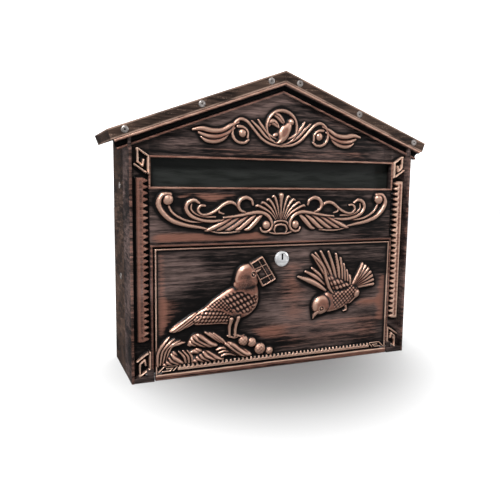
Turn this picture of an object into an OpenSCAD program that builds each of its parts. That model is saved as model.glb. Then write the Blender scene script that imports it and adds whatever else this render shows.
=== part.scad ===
// Wall mailbox with a cast front, a sheet body and a pitched roof.
// x runs along the front, y runs into the wall, z is up.
// The origin is the middle of the four wall holes, on the back face.
// Inside the modules y is the recess behind the front rim, and z the height
// above the bottom; the last lines of the file move both to the origin.

/* [Body] */
// Width of the cast front
body_w = 370; // [350:1:400]
// Height from the bottom to the ridge of the roof
body_h = 358; // [350:1:380]
// Depth from the front rim to the wall
body_d = 108; // [95:1:140]
// Wall thickness of the castings
cast_t = 3; // [2.6:0.1:3.4]
// Thickness of the sheet metal
sheet_t = 1; // [0.8:0.1:1.4]
// Depth of the cast front's side walls
skirt_d = 40; // [34:1:48]
// How far the flat ground of the front lies behind its rim
field_y = 9; // [8:0.5:10]

/* [Roof] */
// Slope of the roof in degrees
roof_slope = 20.3; // [19:0.1:21]
// Overhang of the roof beyond each side
roof_over = 22; // [20:0.5:26]
// Height of the folded strips along the roof's edges
fascia_h = 12; // [11:0.5:13]
// Thickness of each bead of the cornice
cornice_bead = 3; // [2:0.5:4]

/* [Letter slot] */
// Distance from each end of the slot to the side of the front
slot_side = 25; // [23:0.5:30]
// Clear height of the slot
slot_h = 32; // [26:1:35]
// Height of the ridge above the slot's upper edge
slot_drop = 104.5; // [102:0.5:107]
// Thickness of the slot's frame
slot_bead = 2.6; // [2:0.1:3]
// Diameter of the flap's rod
rod_d = 3; // [2.6:0.1:3.4]

/* [Door] */
// Width of each stile beside the door's opening
stile_w = 26; // [24.5:0.5:30]
// Height of the frieze between the door's top edge and the slot
frieze_h = 68.9; // [67:0.1:72]
// Gap around the door
door_gap = 1.5; // [1:0.1:2]
// Diameter of the hinge pins
pin_d = 3; // [2.6:0.1:3.2]
// Height of the hinge axis above the bottom
hinge_z = 8; // [7.5:0.1:9]
// Recess of the hinge axis behind the front rim
hinge_y = 4.6; // [4.4:0.1:5]

/* [Lock] */
// Diameter of the lock's head
lock_head_d = 19; // [18:0.5:21]
// Diameter of the lock's barrel
lock_barrel_d = 16; // [15:0.5:17]
// Diameter of the turning plug
lock_plug_d = 14; // [12:0.5:14]
// Distance of the lock below the door's top edge
lock_drop = 17.6; // [16:0.2:22]
// Reach of the cam from the lock's middle
cam_reach = 29; // [28:0.5:34]

/* [Fastening] */
// Diameter of the four wall holes
wall_hole_d = 6; // [5:0.5:8]
// Distance between the left and right wall holes
wall_hole_dx = 280; // [240:5:310]
// Distance between the upper and lower wall holes
wall_hole_dz = 180; // [140:5:190]
// Height of the middle of the wall holes above the bottom
wall_hole_z = 150; // [145:1:160]
// Shank diameter of the rivets
rivet_d = 4; // [3.6:0.1:4.4]
// Head diameter of the rivets
rivet_head_d = 8; // [7:0.2:9]

/* [Ornament] */
// Height of the ornament on the gable and the frieze above its ground
scroll_rise = 4; // [3:0.5:5]
// Height of the birds above the door's ground
bird_rise = 6; // [4:0.5:7]
// Spacing of the teeth along the side strips
tooth_pitch = 6.75; // [5.5:0.25:9]

/* [Hidden] */
$fn = 48;

half_w = body_w / 2;
rise = tan(roof_slope);
roof_half = half_w + roof_over;
eave_half = half_w + roof_over - 6;
fascia_y = 1;
field_back = field_y + cast_t;
jamb_y = 4;
jamb_back = 20;
slot_w = body_w - 2 * slot_side;
slot_z = body_h - slot_drop - slot_h;
open_half = half_w - stile_w;
door_w = 2 * (open_half - door_gap);
door_top = slot_z - frieze_h;
open_top = door_top + door_gap;
slot_front = field_y - 1.5;
slot_back = 17.6;
rod_y = slot_back + 0.9;
rod_z = slot_z + slot_h + 9.5;
flap_half = slot_w / 2 + 4;
lug_x = flap_half + 2;
lug_t = 3;
lock_z = door_top - lock_drop;
door_face = 3.5;
door_back = door_face + cast_t;
return_y = jamb_back - 1;
cam_y = jamb_back + 1.3;
cam_t = 2;
wall_t = sheet_t;
wrap_front = jamb_back + 1;
stile_in = open_half + cast_t;
strip_out = half_w - 7;
strip_room = strip_out - stile_in - 1;
strip_in = strip_out - 0.6 * strip_room;
strip_top = slot_z + 10;
strip_low = 46;
rim_top = roof_z(half_w, fascia_h + cornice_bead) - 10;
scale_x = body_w / 370;
roof_rivet_x = [18.5, 103, 188.5];
tile_lift = 0.1;
roof_seat = sheet_t + 0.05;
flange_top = roof_z(half_w, fascia_h + 1);
side_rivet_z = [for (f = [0.414, 0.805]) f * flange_top];
side_rivet_y = skirt_d + 22;
back_rivet_z = [for (f = [0.11, 0.4, 0.69, 0.96]) f * flange_top];
back_rivet_x = [for (f = [-0.35, 0, 0.35]) f * body_w];
copper = [0.45, 0.29, 0.22];
bronze = [0.25, 0.2, 0.18];
steel = [0.75, 0.75, 0.77];

// Height of the roof's top face, less a drop measured square to the slope.
function roof_z(x, drop = 0) = body_h - abs(x) * rise - drop / cos(roof_slope);

// Points along a smooth line through the points of p, k steps to each span.
function lerp_cr(a, b, c, d, t) =
    0.5 * (2 * b + (c - a) * t + (2 * a - 5 * b + 4 * c - d) * t * t
           + (3 * b - a - 3 * c + d) * t * t * t);
function smooth(p, k) = let (n = len(p) - 1)
    [for (i = [0 : n - 1]) for (j = [0 : k - 1])
        lerp_cr(p[max(i - 1, 0)], p[i], p[i + 1], p[min(i + 2, n)], j / k), p[n]];
function smooth_ring(p, k) = let (n = len(p))
    [for (i = [0 : n - 1]) for (j = [0 : k - 1])
        lerp_cr(p[(i + n - 1) % n], p[i], p[(i + 1) % n], p[(i + 2) % n], j / k)];
function anticlockwise(p) = let (n = len(p),
    turn = [for (i = [0 : n - 1]) cross(p[i], p[(i + 1) % n])] * [for (q = p) 1])
    turn > 0 ? p : [for (i = [n - 1 : -1 : 0]) p[i]];
function flat(p) = [p[0], p[1]];
function unit(v) = v / max(norm(v), 0.001);

module placed() {
    translate([0, -body_d, -wall_hole_z]) children();
}

// Stands a flat drawing up on the front, facing out, at recess y.
module facing(y) {
    translate([0, y, 0]) rotate([90, 0, 0]) children();
}

// A slab between two recesses, from a flat drawing of the front.
module slab(y0, y1) {
    facing(y1) linear_extrude(y1 - y0) children();
}

// A raised rib of rounded section along points of [x, z, width].
module rib(p, k = 2, lift = 0.55) {
    s = smooth(p, k);
    n = len(s);
    pts = [for (i = [0 : n - 1])
        let (d = unit(flat(s[min(i + 1, n - 1)]) - flat(s[max(i - 1, 0)])),
             side = [-d[1], d[0]], w = max(s[i][2], 0.6), h = w * lift)
        for (q = [[-0.5, -0.6], [-0.24, h], [0.24, h], [0.5, -0.6]])
            [s[i][0] + side[0] * w * q[0], s[i][1] + side[1] * w * q[0], q[1]]];
    sides = [for (i = [0 : n - 2]) for (j = [0 : 3])
        let (a = i * 4 + j, b = i * 4 + (j + 1) % 4) [a, b, b + 4, a + 4]];
    polyhedron(pts, concat([[3, 2, 1, 0]], sides,
                           [[for (j = [0 : 3]) (n - 1) * 4 + j]]), convexity = 4);
}

// A rounded lump whose foot is a smooth ring through the points of p.
module lump(p, h, k = 2, rings = 2) {
    s = anticlockwise(smooth_ring(p, k));
    n = len(s);
    c = [for (a = [0, 1]) [for (q = p) q[a]] * [for (q = p) 1] / len(p)];
    pts = concat([for (q = s) [q[0], q[1], -0.6]],
        [for (r = [0 : rings - 1]) let (f = cos(76 * r / rings), z = h * sin(76 * r / rings))
            for (q = s) [c[0] + (q[0] - c[0]) * f, c[1] + (q[1] - c[1]) * f, z + 0.2]],
        [[c[0], c[1], h]]);
    top = (rings + 1) * n;
    polyhedron(pts, concat([[for (i = [0 : n - 1]) i]],
        [for (r = [0 : rings - 1]) for (i = [0 : n - 1])
            let (j = (i + 1) % n) [r * n + i, (r + 1) * n + i, (r + 1) * n + j, r * n + j]],
        [for (i = [0 : n - 1]) [rings * n + i, top, rings * n + (i + 1) % n]]), convexity = 4);
}

module knob(x, z, r, h) {
    lump([for (a = [0 : 36 : 324]) [x + r * cos(a), z + r * sin(a)]], h, 1);
}

// A carved panel: the ornament on a thin ground of its own, let into a casting.
// fit and tall stretch it sideways and upright, up moves it with the front's height.
module carved(y, x, z0, z1, fit, tall, up) {
    facing(y) resize([2 * x * fit, 0, 0]) translate([0, up, 0]) scale([1, tall, 1]) {
        translate([-x, z0, -cast_t - 0.2]) cube([2 * x, z1 - z0, cast_t + 0.2 + tile_lift]);
        children();
    }
}

// Both halves of an ornament that is the same left and right.
module both() {
    children();
    mirror([1, 0, 0]) children();
}

// A flat strip of even width along a line, with mitred corners.
module strip(p, w) {
    n = len(p);
    out = [for (i = [0 : n - 1])
        let (a = unit(p[i] - p[max(i - 1, 0)]), b = unit(p[min(i + 1, n - 1)] - p[i]),
             u = i == 0 ? b : a, v = i == n - 1 ? a : b, m = unit(u + v),
             side = [-m[1], m[0]] * w / 2 / max(m * u, 0.35)) [p[i] + side, p[i] - side]];
    polygon(concat([for (q = out) q[0]], [for (i = [n - 1 : -1 : 0]) out[i][1]]));
}

// The band between two lines that follow the roof at the given drops.
module gable_band(d0, d1, half) {
    polygon([[-half, roof_z(half, d0)], [0, roof_z(0, d0)], [half, roof_z(half, d0)],
             [half, roof_z(half, d1)], [0, roof_z(0, d1)], [-half, roof_z(half, d1)]]);
}

module house(half, low, drop) {
    polygon([[-half, low], [half, low], [half, roof_z(half, drop)], [0, roof_z(0, drop)],
             [-half, roof_z(half, drop)]]);
}

module box_at(x0, x1, y0, y1, z0, z1) {
    translate([x0, y0, z0]) cube([x1 - x0, y1 - y0, z1 - z0]);
}

// A rod along x, centred at recess y and height z.
module bar_x(x0, x1, y, z, d) {
    translate([x0, y, z]) rotate([0, 90, 0]) cylinder(d = d, h = x1 - x0);
}

// A rod along y, from recess y0 to y1.
module bar_y(x, z, y0, y1, d) {
    translate([x, y1, z]) rotate([90, 0, 0]) cylinder(d = d, h = y1 - y0);
}

module teeth(n, pitch, root, tip, body) {
    polygon(concat([[0, body], [0, root]],
        [for (i = [0 : n - 1]) each [[i * pitch + pitch * 0.2, root],
            [i * pitch + pitch * 0.4, tip], [i * pitch + pitch * 0.6, tip],
            [i * pitch + pitch * 0.8, root]]],
        [[n * pitch, root], [n * pitch, body]]));
}

// One end of the frieze: hooks, scrolls, wing feathers and half a shell.
module frieze_half() {
    rib([[138, 213, 5], [147, 212, 6.5], [151.5, 203, 7], [147, 193, 6.5], [137, 184, 6],
         [122, 178.5, 5], [106, 175.5, 4], [94, 173, 2.5]]);
    rib([[141, 203, 3], [136, 193, 3.2], [126, 186, 3.2], [114, 182, 3], [100, 181, 2]]);
    knob(141, 207.5, 7, 4);
    rib([[104, 203, 3], [110, 206.5, 4.5], [117, 204, 5], [119.5, 197, 5], [115, 189.5, 5],
         [105, 184.5, 4.5], [92, 182, 4], [78, 182.5, 3.5], [64, 185, 3]]);
    rib([[113, 202, 2], [113.5, 196, 2.6], [108, 190.5, 2.6], [98, 187.5, 2.6], [84, 187, 2]]);
    rib([[97, 200, 3], [102.5, 200, 3.6], [105.5, 195, 3.6], [101, 190, 3.4], [92, 190.5, 3.6],
         [82, 195.5, 4.2], [74, 201.5, 4.6], [66, 204, 4.6], [59.5, 201.5, 3.6], [57, 197, 2]]);
    rib([[79.5, 197, 3], [80, 192.5, 3], [74, 190.5, 2]]);
    rib([[37, 201, 3], [39, 206.5, 4], [46, 209.5, 5], [53, 207, 5], [56, 200.5, 5],
         [53, 194.5, 4], [46, 191.5, 3]]);
    rib([[27, 173, 2.4], [24.5, 169, 3], [18, 168.5, 3.5], [12.8, 173, 4], [13, 181, 4.4],
         [18, 188, 4.8], [28, 191.8, 5], [42, 190.5, 4.8], [58, 187.5, 4.2], [74, 186, 3]]);
    knob(19.5, 176.5, 4.8, 4);
    for (i = [0 : 4])
        rib([[27 + i * 9, 188 - i * 0.6, 2.2], [34.5 + i * 10.6, 180.2 - i * 0.5, 3.8],
             [43 + i * 12.2, 171.5, 2]]);
    rib([[54, 169.5, 2], [67, 168.3, 2.6], [80, 168.5, 2.6], [92, 171, 2.4]]);
    for (i = [0 : 3])
        rib([[1.6 + i * 1.7, 184 - i * 0.5, 1.8], [3 + i * 3, 191 - i * 0.6, 2.4],
             [5.5 + i * 4.4, 202 - i * 2.6, 3.2], [9 + i * 7, 210.5 - i * 3.6, 3.4],
             [12 + i * 7, 210 - i * 3.8, 2]]);
    rib([[-1, 181.6, 3], [7, 180, 3], [11, 175, 2.6]]);
    rib([[-1, 177, 3], [6, 175.5, 3], [8.5, 170.5, 2.6], [7, 166.5, 2]]);
    rib([[-1, 165.6, 2.4], [8, 165.6, 2.4], [15, 167.4, 2]]);
}

module frieze() {
    both() frieze_half();
    rib([[0, 184, 2.6], [0, 195, 3], [0, 205, 4.6], [0, 212, 7]]);
}

// One side of the gable's ornament: stem, scroll with a ball, leaf of three lobes.
module gable_half() {
    rib([[-1, 271.1, 3.5], [14, 273, 3.8], [26, 279, 3.8], [36, 289, 3.8], [45, 298, 4.2],
         [53, 300.5, 4.2], [60, 296, 4.2], [63.5, 288, 4.2], [62, 279, 4], [56, 274, 3.6],
         [48, 273.5, 3.6], [43, 277, 3]]);
    knob(51, 284.5, 5, 4);
    rib([[8, 275, 2.5], [20, 281, 3], [30, 291, 3], [39, 299, 2]]);
    rib([[6, 279, 2], [17, 284, 3.2], [25, 292, 3.6], [31, 301, 2]]);
    rib([[56, 297, 3], [66, 292, 4.2], [76, 286.5, 5], [88, 285.5, 5], [100, 287.5, 4.6],
         [111, 286, 2]]);
    rib([[61, 290, 3], [71, 283, 4.2], [82, 279, 4.6], [94, 279.5, 4.2], [104, 283, 2.4]]);
    rib([[68, 283, 2.6], [75, 277, 4], [85, 273.8, 4.2], [95, 274.5, 3.6], [101, 278, 2]]);
}

// Ring with a small bird in it, at the middle of the gable.
module medallion() {
    ring = [for (a = [-97 : 36.6 : 270]) [20 * cos(a), 293 + 20 * sin(a), 3.4 + 1.2 * sin(a)]];
    rib(ring);
    rib([[10, 299, 7], [6, 291, 9], [1.2, 283, 9], [0.3, 274.4, 6]], 2, 0.4);
    rib([[-14, 304, 3], [-6, 301, 7], [3, 295, 5]], 2, 0.4);
    rib([[-15, 298, 3], [-14, 289, 6], [-8, 282, 3]], 2, 0.4);
    knob(11, 300, 4, 4);
}

// Squared spiral at a corner of the front, drawn for the upper right.
module corner_key(x, z) {
    path = [[168, 250.5], [169.2, 244], [174.3, 248.5], [174.8, 263], [162, 255], [162, 236]];
    translate([x, z]) scale([strip_room / 15, 1]) {
        strip([for (q = path) q - [162, 236]], 2.4);
        strip([[16, 9.5], [3.5, 1]], 2.4);
    }
}

module front_plate() {
    difference() {
        house(half_w, 0, roof_seat);
        translate([-slot_w / 2, slot_z]) square([slot_w, slot_h]);
        translate([-open_half, -1]) square([2 * open_half, open_top + 1]);
    }
}

module eave_ears() {
    for (s = [-1, 1])
        polygon([[s * (half_w - 4), roof_z(half_w - 4, 30)],
                 [s * (eave_half - 8), roof_z(eave_half - 8, 23)],
                 [s * eave_half, roof_z(eave_half, 17.5)],
                 [s * eave_half, roof_z(eave_half, roof_seat)],
                 [s * (half_w - 4), roof_z(half_w - 4, roof_seat)]]);
}

module ring_frame(x0, x1, z0, z1, w) {
    difference() {
        translate([x0 - w, z0 - w]) square([x1 - x0 + 2 * w, z1 - z0 + 2 * w]);
        translate([x0, z0]) square([x1 - x0, z1 - z0]);
    }
}

module stile_ornament() {
    length = strip_top - strip_low;
    count = floor(length / tooth_pitch);
    for (s = [0, 1]) mirror([s, 0]) {
        translate([strip_out, strip_low]) rotate(90)
            teeth(count, length / count, strip_out - strip_in, strip_room, 0);
        corner_key(stile_in + 1, slot_z + 14.5);
        translate([0, 48]) mirror([0, 1]) corner_key(stile_in + 1, 5);
    }
}

module front_casting() {
    color(bronze) {
        difference() {
            union() {
                slab(field_y, field_back) front_plate();
                slab(field_y - 7, field_y - 4) intersection() {
                    union() {
                        house(half_w, flange_top * 0.7, roof_seat);
                        eave_ears();
                    }
                    gable_band(roof_seat, fascia_h + cornice_bead, eave_half);
                }
                slab(0.5, field_back) intersection() {
                    gable_band(fascia_h + 0.4, fascia_h + 0.4 + cornice_bead, eave_half);
                    union() {
                        house(half_w, flange_top * 0.7, roof_seat);
                        eave_ears();
                    }
                }
                slab(field_y - 3, field_back) intersection() {
                    gable_band(fascia_h + 9, fascia_h + 9 + cornice_bead, eave_half - 8);
                    union() {
                        house(half_w, flange_top * 0.7, roof_seat);
                        eave_ears();
                    }
                }
                slab(field_y, field_back) eave_ears();
                slab(2, field_back) gable_band(roof_seat, sheet_t + cast_t, eave_half);
                for (s = [-1, 1]) {
                    box_at(min(s * half_w, s * (half_w - cast_t)), max(s * half_w,
                           s * (half_w - cast_t)), 0, field_back, 0, rim_top);
                    box_at(min(s * half_w, s * (half_w - cast_t)), max(s * half_w,
                           s * (half_w - cast_t)), fascia_y + 1, field_back, rim_top - 1,
                           roof_z(half_w, sheet_t + 1));
                    box_at(min(s * half_w, s * open_half), max(s * half_w, s * open_half),
                           0.5, field_back, 0, 6);
                    box_at(min(s * stile_in, s * open_half), max(s * stile_in, s * open_half),
                           jamb_y, jamb_back, 0, open_top + cast_t);
                    box_at(min(s * (stile_in + 5), s * open_half),
                           max(s * (stile_in + 5), s * open_half), 2, field_back, 0, 14);
                    box_at(min(s * lug_x, s * (lug_x + lug_t)), max(s * lug_x,
                           s * (lug_x + lug_t)), field_back - 1, rod_y + 5, rod_z - 5, rod_z + 5);
                }
                box_at(-open_half - 1, open_half + 1, jamb_y, jamb_back, open_top,
                       open_top + cast_t);
                slab(slot_front, slot_back) ring_frame(-slot_w / 2, slot_w / 2, slot_z,
                                                       slot_z + slot_h, slot_bead);
                slab(field_y - 6, field_y + 1) stile_ornament();
                carved(field_y, 156, 162.5, 215, scale_x, frieze_h / 68.9,
                       slot_z - 221.5 * frieze_h / 68.9) scale([1, 1, scroll_rise / 4]) frieze();
                carved(field_y, 114, 268.5, 306, scale_x, 1, body_h - 358)
                    scale([1, 1, scroll_rise / 4]) {
                        both() gable_half();
                        medallion();
                    }
            }
            for (s = [-1, 1]) {
                for (x = roof_rivet_x)
                    bar_y(s * x * scale_x, roof_z(x * scale_x, fascia_h / 2), 0, field_back + 1,
                          rivet_d + 0.2);
                bar_x(min(s * (open_half - 1), s * (open_half + 10)),
                      max(s * (open_half - 1), s * (open_half + 10)), hinge_y, hinge_z, pin_d);
                bar_x(min(s * (lug_x - 2), s * (lug_x + lug_t + 2)),
                      max(s * (lug_x - 2), s * (lug_x + lug_t + 2)), rod_y, rod_z, rod_d + 0.2);
            }
        }
    }
}

// What reaches back from the cast front: its side walls, the walls under the roof and
// the tabs for the side rivets. The real casting is one piece with the front.
module front_walls() {
    color(bronze) difference() {
        union() {
            slab(field_back, skirt_d) gable_band(roof_seat, sheet_t + cast_t, eave_half);
            for (s = [-1, 1]) {
                box_at(min(s * half_w, s * (half_w - cast_t)), max(s * half_w,
                       s * (half_w - cast_t)), field_back, skirt_d, 0,
                       roof_z(half_w, sheet_t + 1));
                for (z = side_rivet_z)
                    box_at(min(s * (half_w - sheet_t), s * (half_w - sheet_t - cast_t)),
                           max(s * (half_w - sheet_t), s * (half_w - sheet_t - cast_t)),
                           skirt_d - 6, side_rivet_y + 8, z - 12, z + 12);
            }
        }
        for (s = [-1, 1]) for (z = side_rivet_z)
            bar_x(min(s * (half_w - 8), s * (half_w + 1)), max(s * (half_w - 8),
                  s * (half_w + 1)), side_rivet_y, z, rivet_d + 0.2);
    }
}

module body_wrap() {
    side_top = roof_z(half_w, sheet_t + 0.3);
    color(copper) {
        difference() {
            for (s = [-1, 1]) {
                box_at(min(s * half_w, s * (half_w - wall_t)), max(s * half_w,
                       s * (half_w - wall_t)), skirt_d + 0.2, body_d - wall_t, 0, flange_top);
                box_at(min(s * half_w, s * (half_w - wall_t)), max(s * half_w,
                       s * (half_w - wall_t)), skirt_d + 0.2, body_d - 2.2 * wall_t,
                       flange_top - 1, side_top);
            }
            for (s = [-1, 1]) for (z = side_rivet_z)
                bar_x(min(s * (half_w - 3), s * (half_w + 1)), max(s * (half_w - 3),
                      s * (half_w + 1)), side_rivet_y, z, rivet_d + 0.2);
        }
        box_at(-half_w, half_w, skirt_d + 0.2, body_d - wall_t, 0, wall_t);
        box_at(-half_w + cast_t + 0.3, half_w - cast_t - 0.3, wrap_front, skirt_d + 1, 0, wall_t);
        box_at(-open_half + 1, open_half - 1, wrap_front, wrap_front + wall_t, 0, 9);
        difference() {
            slab(body_d - 2 * wall_t, body_d - wall_t) difference() {
                translate([-half_w, 0]) square([2 * half_w, flange_top]);
                translate([-half_w + 14, 14]) square([2 * half_w - 28, flange_top]);
            }
            for (s = [-1, 1]) for (z = back_rivet_z)
                bar_y(s * (half_w - 7), z, body_d - 4, body_d, rivet_d + 0.2);
            for (x = back_rivet_x)
                bar_y(x, 7, body_d - 4, body_d, rivet_d + 0.2);
        }
    }
}

module back_panel() {
    color(copper) difference() {
        slab(body_d - wall_t, body_d) house(half_w, 0, 0);
        for (x = [-1, 1]) for (z = [-1, 1])
            bar_y(x * wall_hole_dx / 2, wall_hole_z + z * wall_hole_dz / 2, body_d - 3,
                  body_d + 1, wall_hole_d);
        for (s = [-1, 1]) {
            for (z = back_rivet_z)
                bar_y(s * (half_w - 7), z, body_d - 3, body_d + 1, rivet_d + 0.2);
            for (x = roof_rivet_x)
                bar_y(s * min(x * scale_x, half_w - 9), roof_z(min(x * scale_x, half_w - 9),
                      fascia_h / 2), body_d - 3, body_d + 1, rivet_d + 0.2);
        }
        for (x = back_rivet_x)
            bar_y(x, 7, body_d - 3, body_d + 1, rivet_d + 0.2);
    }
}

module roof_sheet() {
    lip = [sin(roof_slope), cos(roof_slope)];
    down = [lip[1], -lip[0]];
    edge = [roof_half, roof_z(roof_half)];
    inner = edge - down * sheet_t;
    half = [edge, edge - lip * fascia_h, inner - lip * fascia_h, inner - lip * sheet_t];
    color(bronze) {
        slab(fascia_y, body_d - wall_t)
            polygon(concat([[0, roof_z(0)]], half, [[0, roof_z(0, sheet_t)]],
                           [for (i = [3 : -1 : 0]) [-half[i][0], half[i][1]]]));
        difference() {
            for (y = [fascia_y, body_d - 2 * wall_t])
                slab(y, y + sheet_t) difference() {
                    gable_band(sheet_t / 2, fascia_h, roof_half);
                    for (s = [0, 1]) mirror([s, 0]) translate(-down * sheet_t / 2)
                        polygon([edge + lip, edge - lip * 2 * fascia_h, edge + [20, 0]]);
                    translate([-0.5, 0]) square([1, roof_z(0, 2)]);
                }
            for (s = [-1, 1]) for (x = roof_rivet_x) {
                bar_y(s * x * scale_x, roof_z(x * scale_x, fascia_h / 2), 0, 4, rivet_d + 0.2);
                bar_y(s * min(x * scale_x, half_w - 9), roof_z(min(x * scale_x, half_w - 9),
                      fascia_h / 2), body_d - 4, body_d, rivet_d + 0.2);
            }
        }
    }
}

// A blind rivet: hollow shank and a low round head with the punched hole.
module rivet(grip) {
    rotate_extrude() polygon([[0.9, -0.4], [1.2, -1], [rivet_head_d / 2 - 1.2, -1],
        [rivet_head_d / 2 - 0.3, -0.6], [rivet_head_d / 2, 0], [rivet_d / 2, 0],
        [rivet_d / 2, grip], [0.9, grip]]);
}

// A flush rivet, countersunk side at zero, upset end inside.
module flush_rivet(grip) {
    rotate_extrude() polygon([[0, 0], [rivet_d / 2, 0], [rivet_d / 2, grip],
        [rivet_head_d / 2, grip], [rivet_head_d / 2 - 0.6, grip + 0.8], [0, grip + 1]]);
}

module roof_rivets_front() {
    color(steel) for (s = [-1, 1]) for (x = roof_rivet_x)
        translate([s * x * scale_x, fascia_y, roof_z(x * scale_x, fascia_h / 2)])
            rotate([-90, 0, 0]) rivet(field_back - fascia_y - 1);
}

module roof_rivets_back() {
    color(steel) for (s = [-1, 1]) for (x = roof_rivet_x)
        translate([s * min(x * scale_x, half_w - 9), body_d, roof_z(min(x * scale_x,
                   half_w - 9), fascia_h / 2)])
            rotate([90, 0, 0]) flush_rivet(2 * wall_t);
}

module side_rivets(s) {
    color(copper) for (z = side_rivet_z)
        translate([s * half_w, side_rivet_y, z])
            rotate([0, -s * 90, 0]) rivet(wall_t + cast_t + 0.5);
}

module side_rivets_left() {
    side_rivets(-1);
}

module side_rivets_right() {
    side_rivets(1);
}

module back_rivets() {
    color(steel) {
        for (s = [-1, 1]) for (z = back_rivet_z)
            translate([s * (half_w - 7), body_d, z]) rotate([90, 0, 0]) flush_rivet(2 * wall_t);
        for (x = back_rivet_x)
            translate([x, body_d, 7]) rotate([90, 0, 0]) flush_rivet(2 * wall_t);
    }
}

// Standing dove with a letter in its beak.
module dove() {
    lump([[-118, 72], [-100, 84.5], [-84, 94], [-70, 101], [-54, 104], [-38, 101], [-31, 88],
          [-35, 76], [-46, 68], [-60, 64], [-78, 60.5], [-98, 61.5], [-112, 64]], bird_rise, 2);
    lump([[-60, 110], [-60.5, 118], [-56, 127], [-48, 131], [-40, 130], [-33, 122],
          [-31.5, 113], [-34, 104], [-50, 102]], bird_rise + 1, 2);
    lump([[-63, 103], [-61, 112], [-50, 117], [-36, 112], [-31, 101], [-33, 89], [-46, 85],
          [-58, 92]], bird_rise + 0.6, 2);
    rib([[-37, 121, 8], [-32, 123, 6], [-26, 126.5, 2.5]]);
    knob(-39, 118.5, 2.4, bird_rise + 2);
    lump([[-141, 58.5], [-128, 69], [-110, 79], [-100, 76], [-102, 67], [-114, 61], [-134, 54.5]],
         bird_rise / 2, 1);
    for (i = [0 : 3])
        rib([[-112 + i, 74 - i * 3.4, 2.2], [-139 + i * 2, 59.6 - i * 1.5, 2]], 1, 1.6);
    for (r = [0 : 4]) for (i = [0 : 7 - r % 2])
        let (a = 198, u = [cos(a), sin(a)], v = [-u[1], u[0]], t = (r - 2) * (6.6 - i * 0.35),
             p = [-45, 89] + u * (i * 8.6 + (r % 2) * 4.3) - v * t)
            rib([[p[0], p[1], 5.4], [p[0] + u[0] * 5, p[1] + u[1] * 5, 4.6],
                 [p[0] + u[0] * 7.4, p[1] + u[1] * 7.4, 1.6]], 1,
                (bird_rise + 1.5 - abs(r - 2) * 0.7 - i * 0.36) / 5.4);
    rib([[-67, 66, 9], [-68, 56, 4.6], [-68, 44, 4]]);
    rib([[-58, 67, 8], [-60, 56, 4.6], [-61, 44, 4]]);
    rib([[-70, 45, 3], [-62, 42, 3], [-56, 43, 2]]);
    rib([[-62, 46, 3], [-54, 43, 3], [-49, 44, 2]]);
}

module letter() {
    corners = [[-42, 131], [-27.5, 138.5], [-10, 111], [-26, 103.5]];
    translate([0, 0, -0.6]) linear_extrude(3) offset(delta = -0.7) polygon(corners);
    for (i = [0 : 3]) let (c = corners[i], d = corners[(i + 1) % 4], u = unit(d - c) * 1.1,
                           a = c - u, b = d + u)
        rib([[a[0], a[1], 2.6], [b[0], b[1], 2.6]], 1, 1.4);
    rib([[-33, 135.6, 2], [-15.6, 108.5, 2]], 1, 1.7);
    rib([[-38, 124, 2], [-22, 129.6, 2]], 1, 1.7);
    rib([[-30, 111, 2], [-14.5, 117.6, 2]], 1, 1.7);
}

// Bird in flight, head down to the left.
module flying_bird() {
    tips = [[42, 138], [46.5, 140], [54, 142], [65, 141.5], [76, 138], [83, 132.5],
            [88, 124.5], [93, 116], [98, 109]];
    lump([[62, 89], [76, 91], [90, 97], [104, 96], [108, 88], [100, 78], [88, 68.5], [70, 65],
          [60, 66]], bird_rise, 2);
    lump([[43, 73], [46, 81], [53, 85.5], [62, 86], [69, 80], [69, 70], [62, 63], [52, 61],
          [45.5, 65]], bird_rise + 0.5, 2);
    rib([[50, 66, 7], [46.5, 61, 4.5], [45, 56.5, 1.6]]);
    knob(54, 70, 2.3, bird_rise + 1);
    for (i = [0 : len(tips) - 1])
        let (f = i / (len(tips) - 1), b = [67 + 30 * f, 98 - 2 * f], t = tips[i])
            rib([[b[0], b[1], 4], [(b[0] + t[0]) / 2 + 2 - 2 * f, (b[1] + t[1]) / 2, 5.4],
                 [t[0], t[1], 3]], 2, 0.7);
    rib([[82, 81, 3], [70, 90, 4.4], [63, 104, 5], [58, 120, 5], [50, 131, 5], [42, 138, 3]]);
    for (r = [0 : 2]) for (i = [0 : 5])
        rib([[71 + i * 5 + r, 103 - r * 6 - i * 0.6, 5], [69.5 + i * 5.4, 109 - r * 6, 3]], 1,
            (bird_rise + 0.5) / 6);
    rib([[62, 92, 4], [50, 100, 7], [38, 106, 7], [23, 111.5, 3]]);
    rib([[61, 99, 3], [48, 109.5, 6], [33, 117.5, 3]]);
    rib([[59, 105, 3], [52, 113, 5], [42, 121.5, 3]]);
    for (i = [0 : 5])
        let (a = 62 - i * 13, u = [cos(a), sin(a)])
            rib([[100 + u[0] * 4, 93 + u[1] * 4, 5], [103 + u[0] * 18, 95 + u[1] * 18, 6],
                 [104 + u[0] * 30, 96 + u[1] * 30, 4.6]], 2, 0.6);
    knob(106, 86, 6.4, bird_rise - 1);
    rib([[106, 82, 5], [100, 75, 3.4], [96, 73, 2]]);
    rib([[92, 70, 4], [94, 65, 3], [90, 63, 2]]);
}

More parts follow.
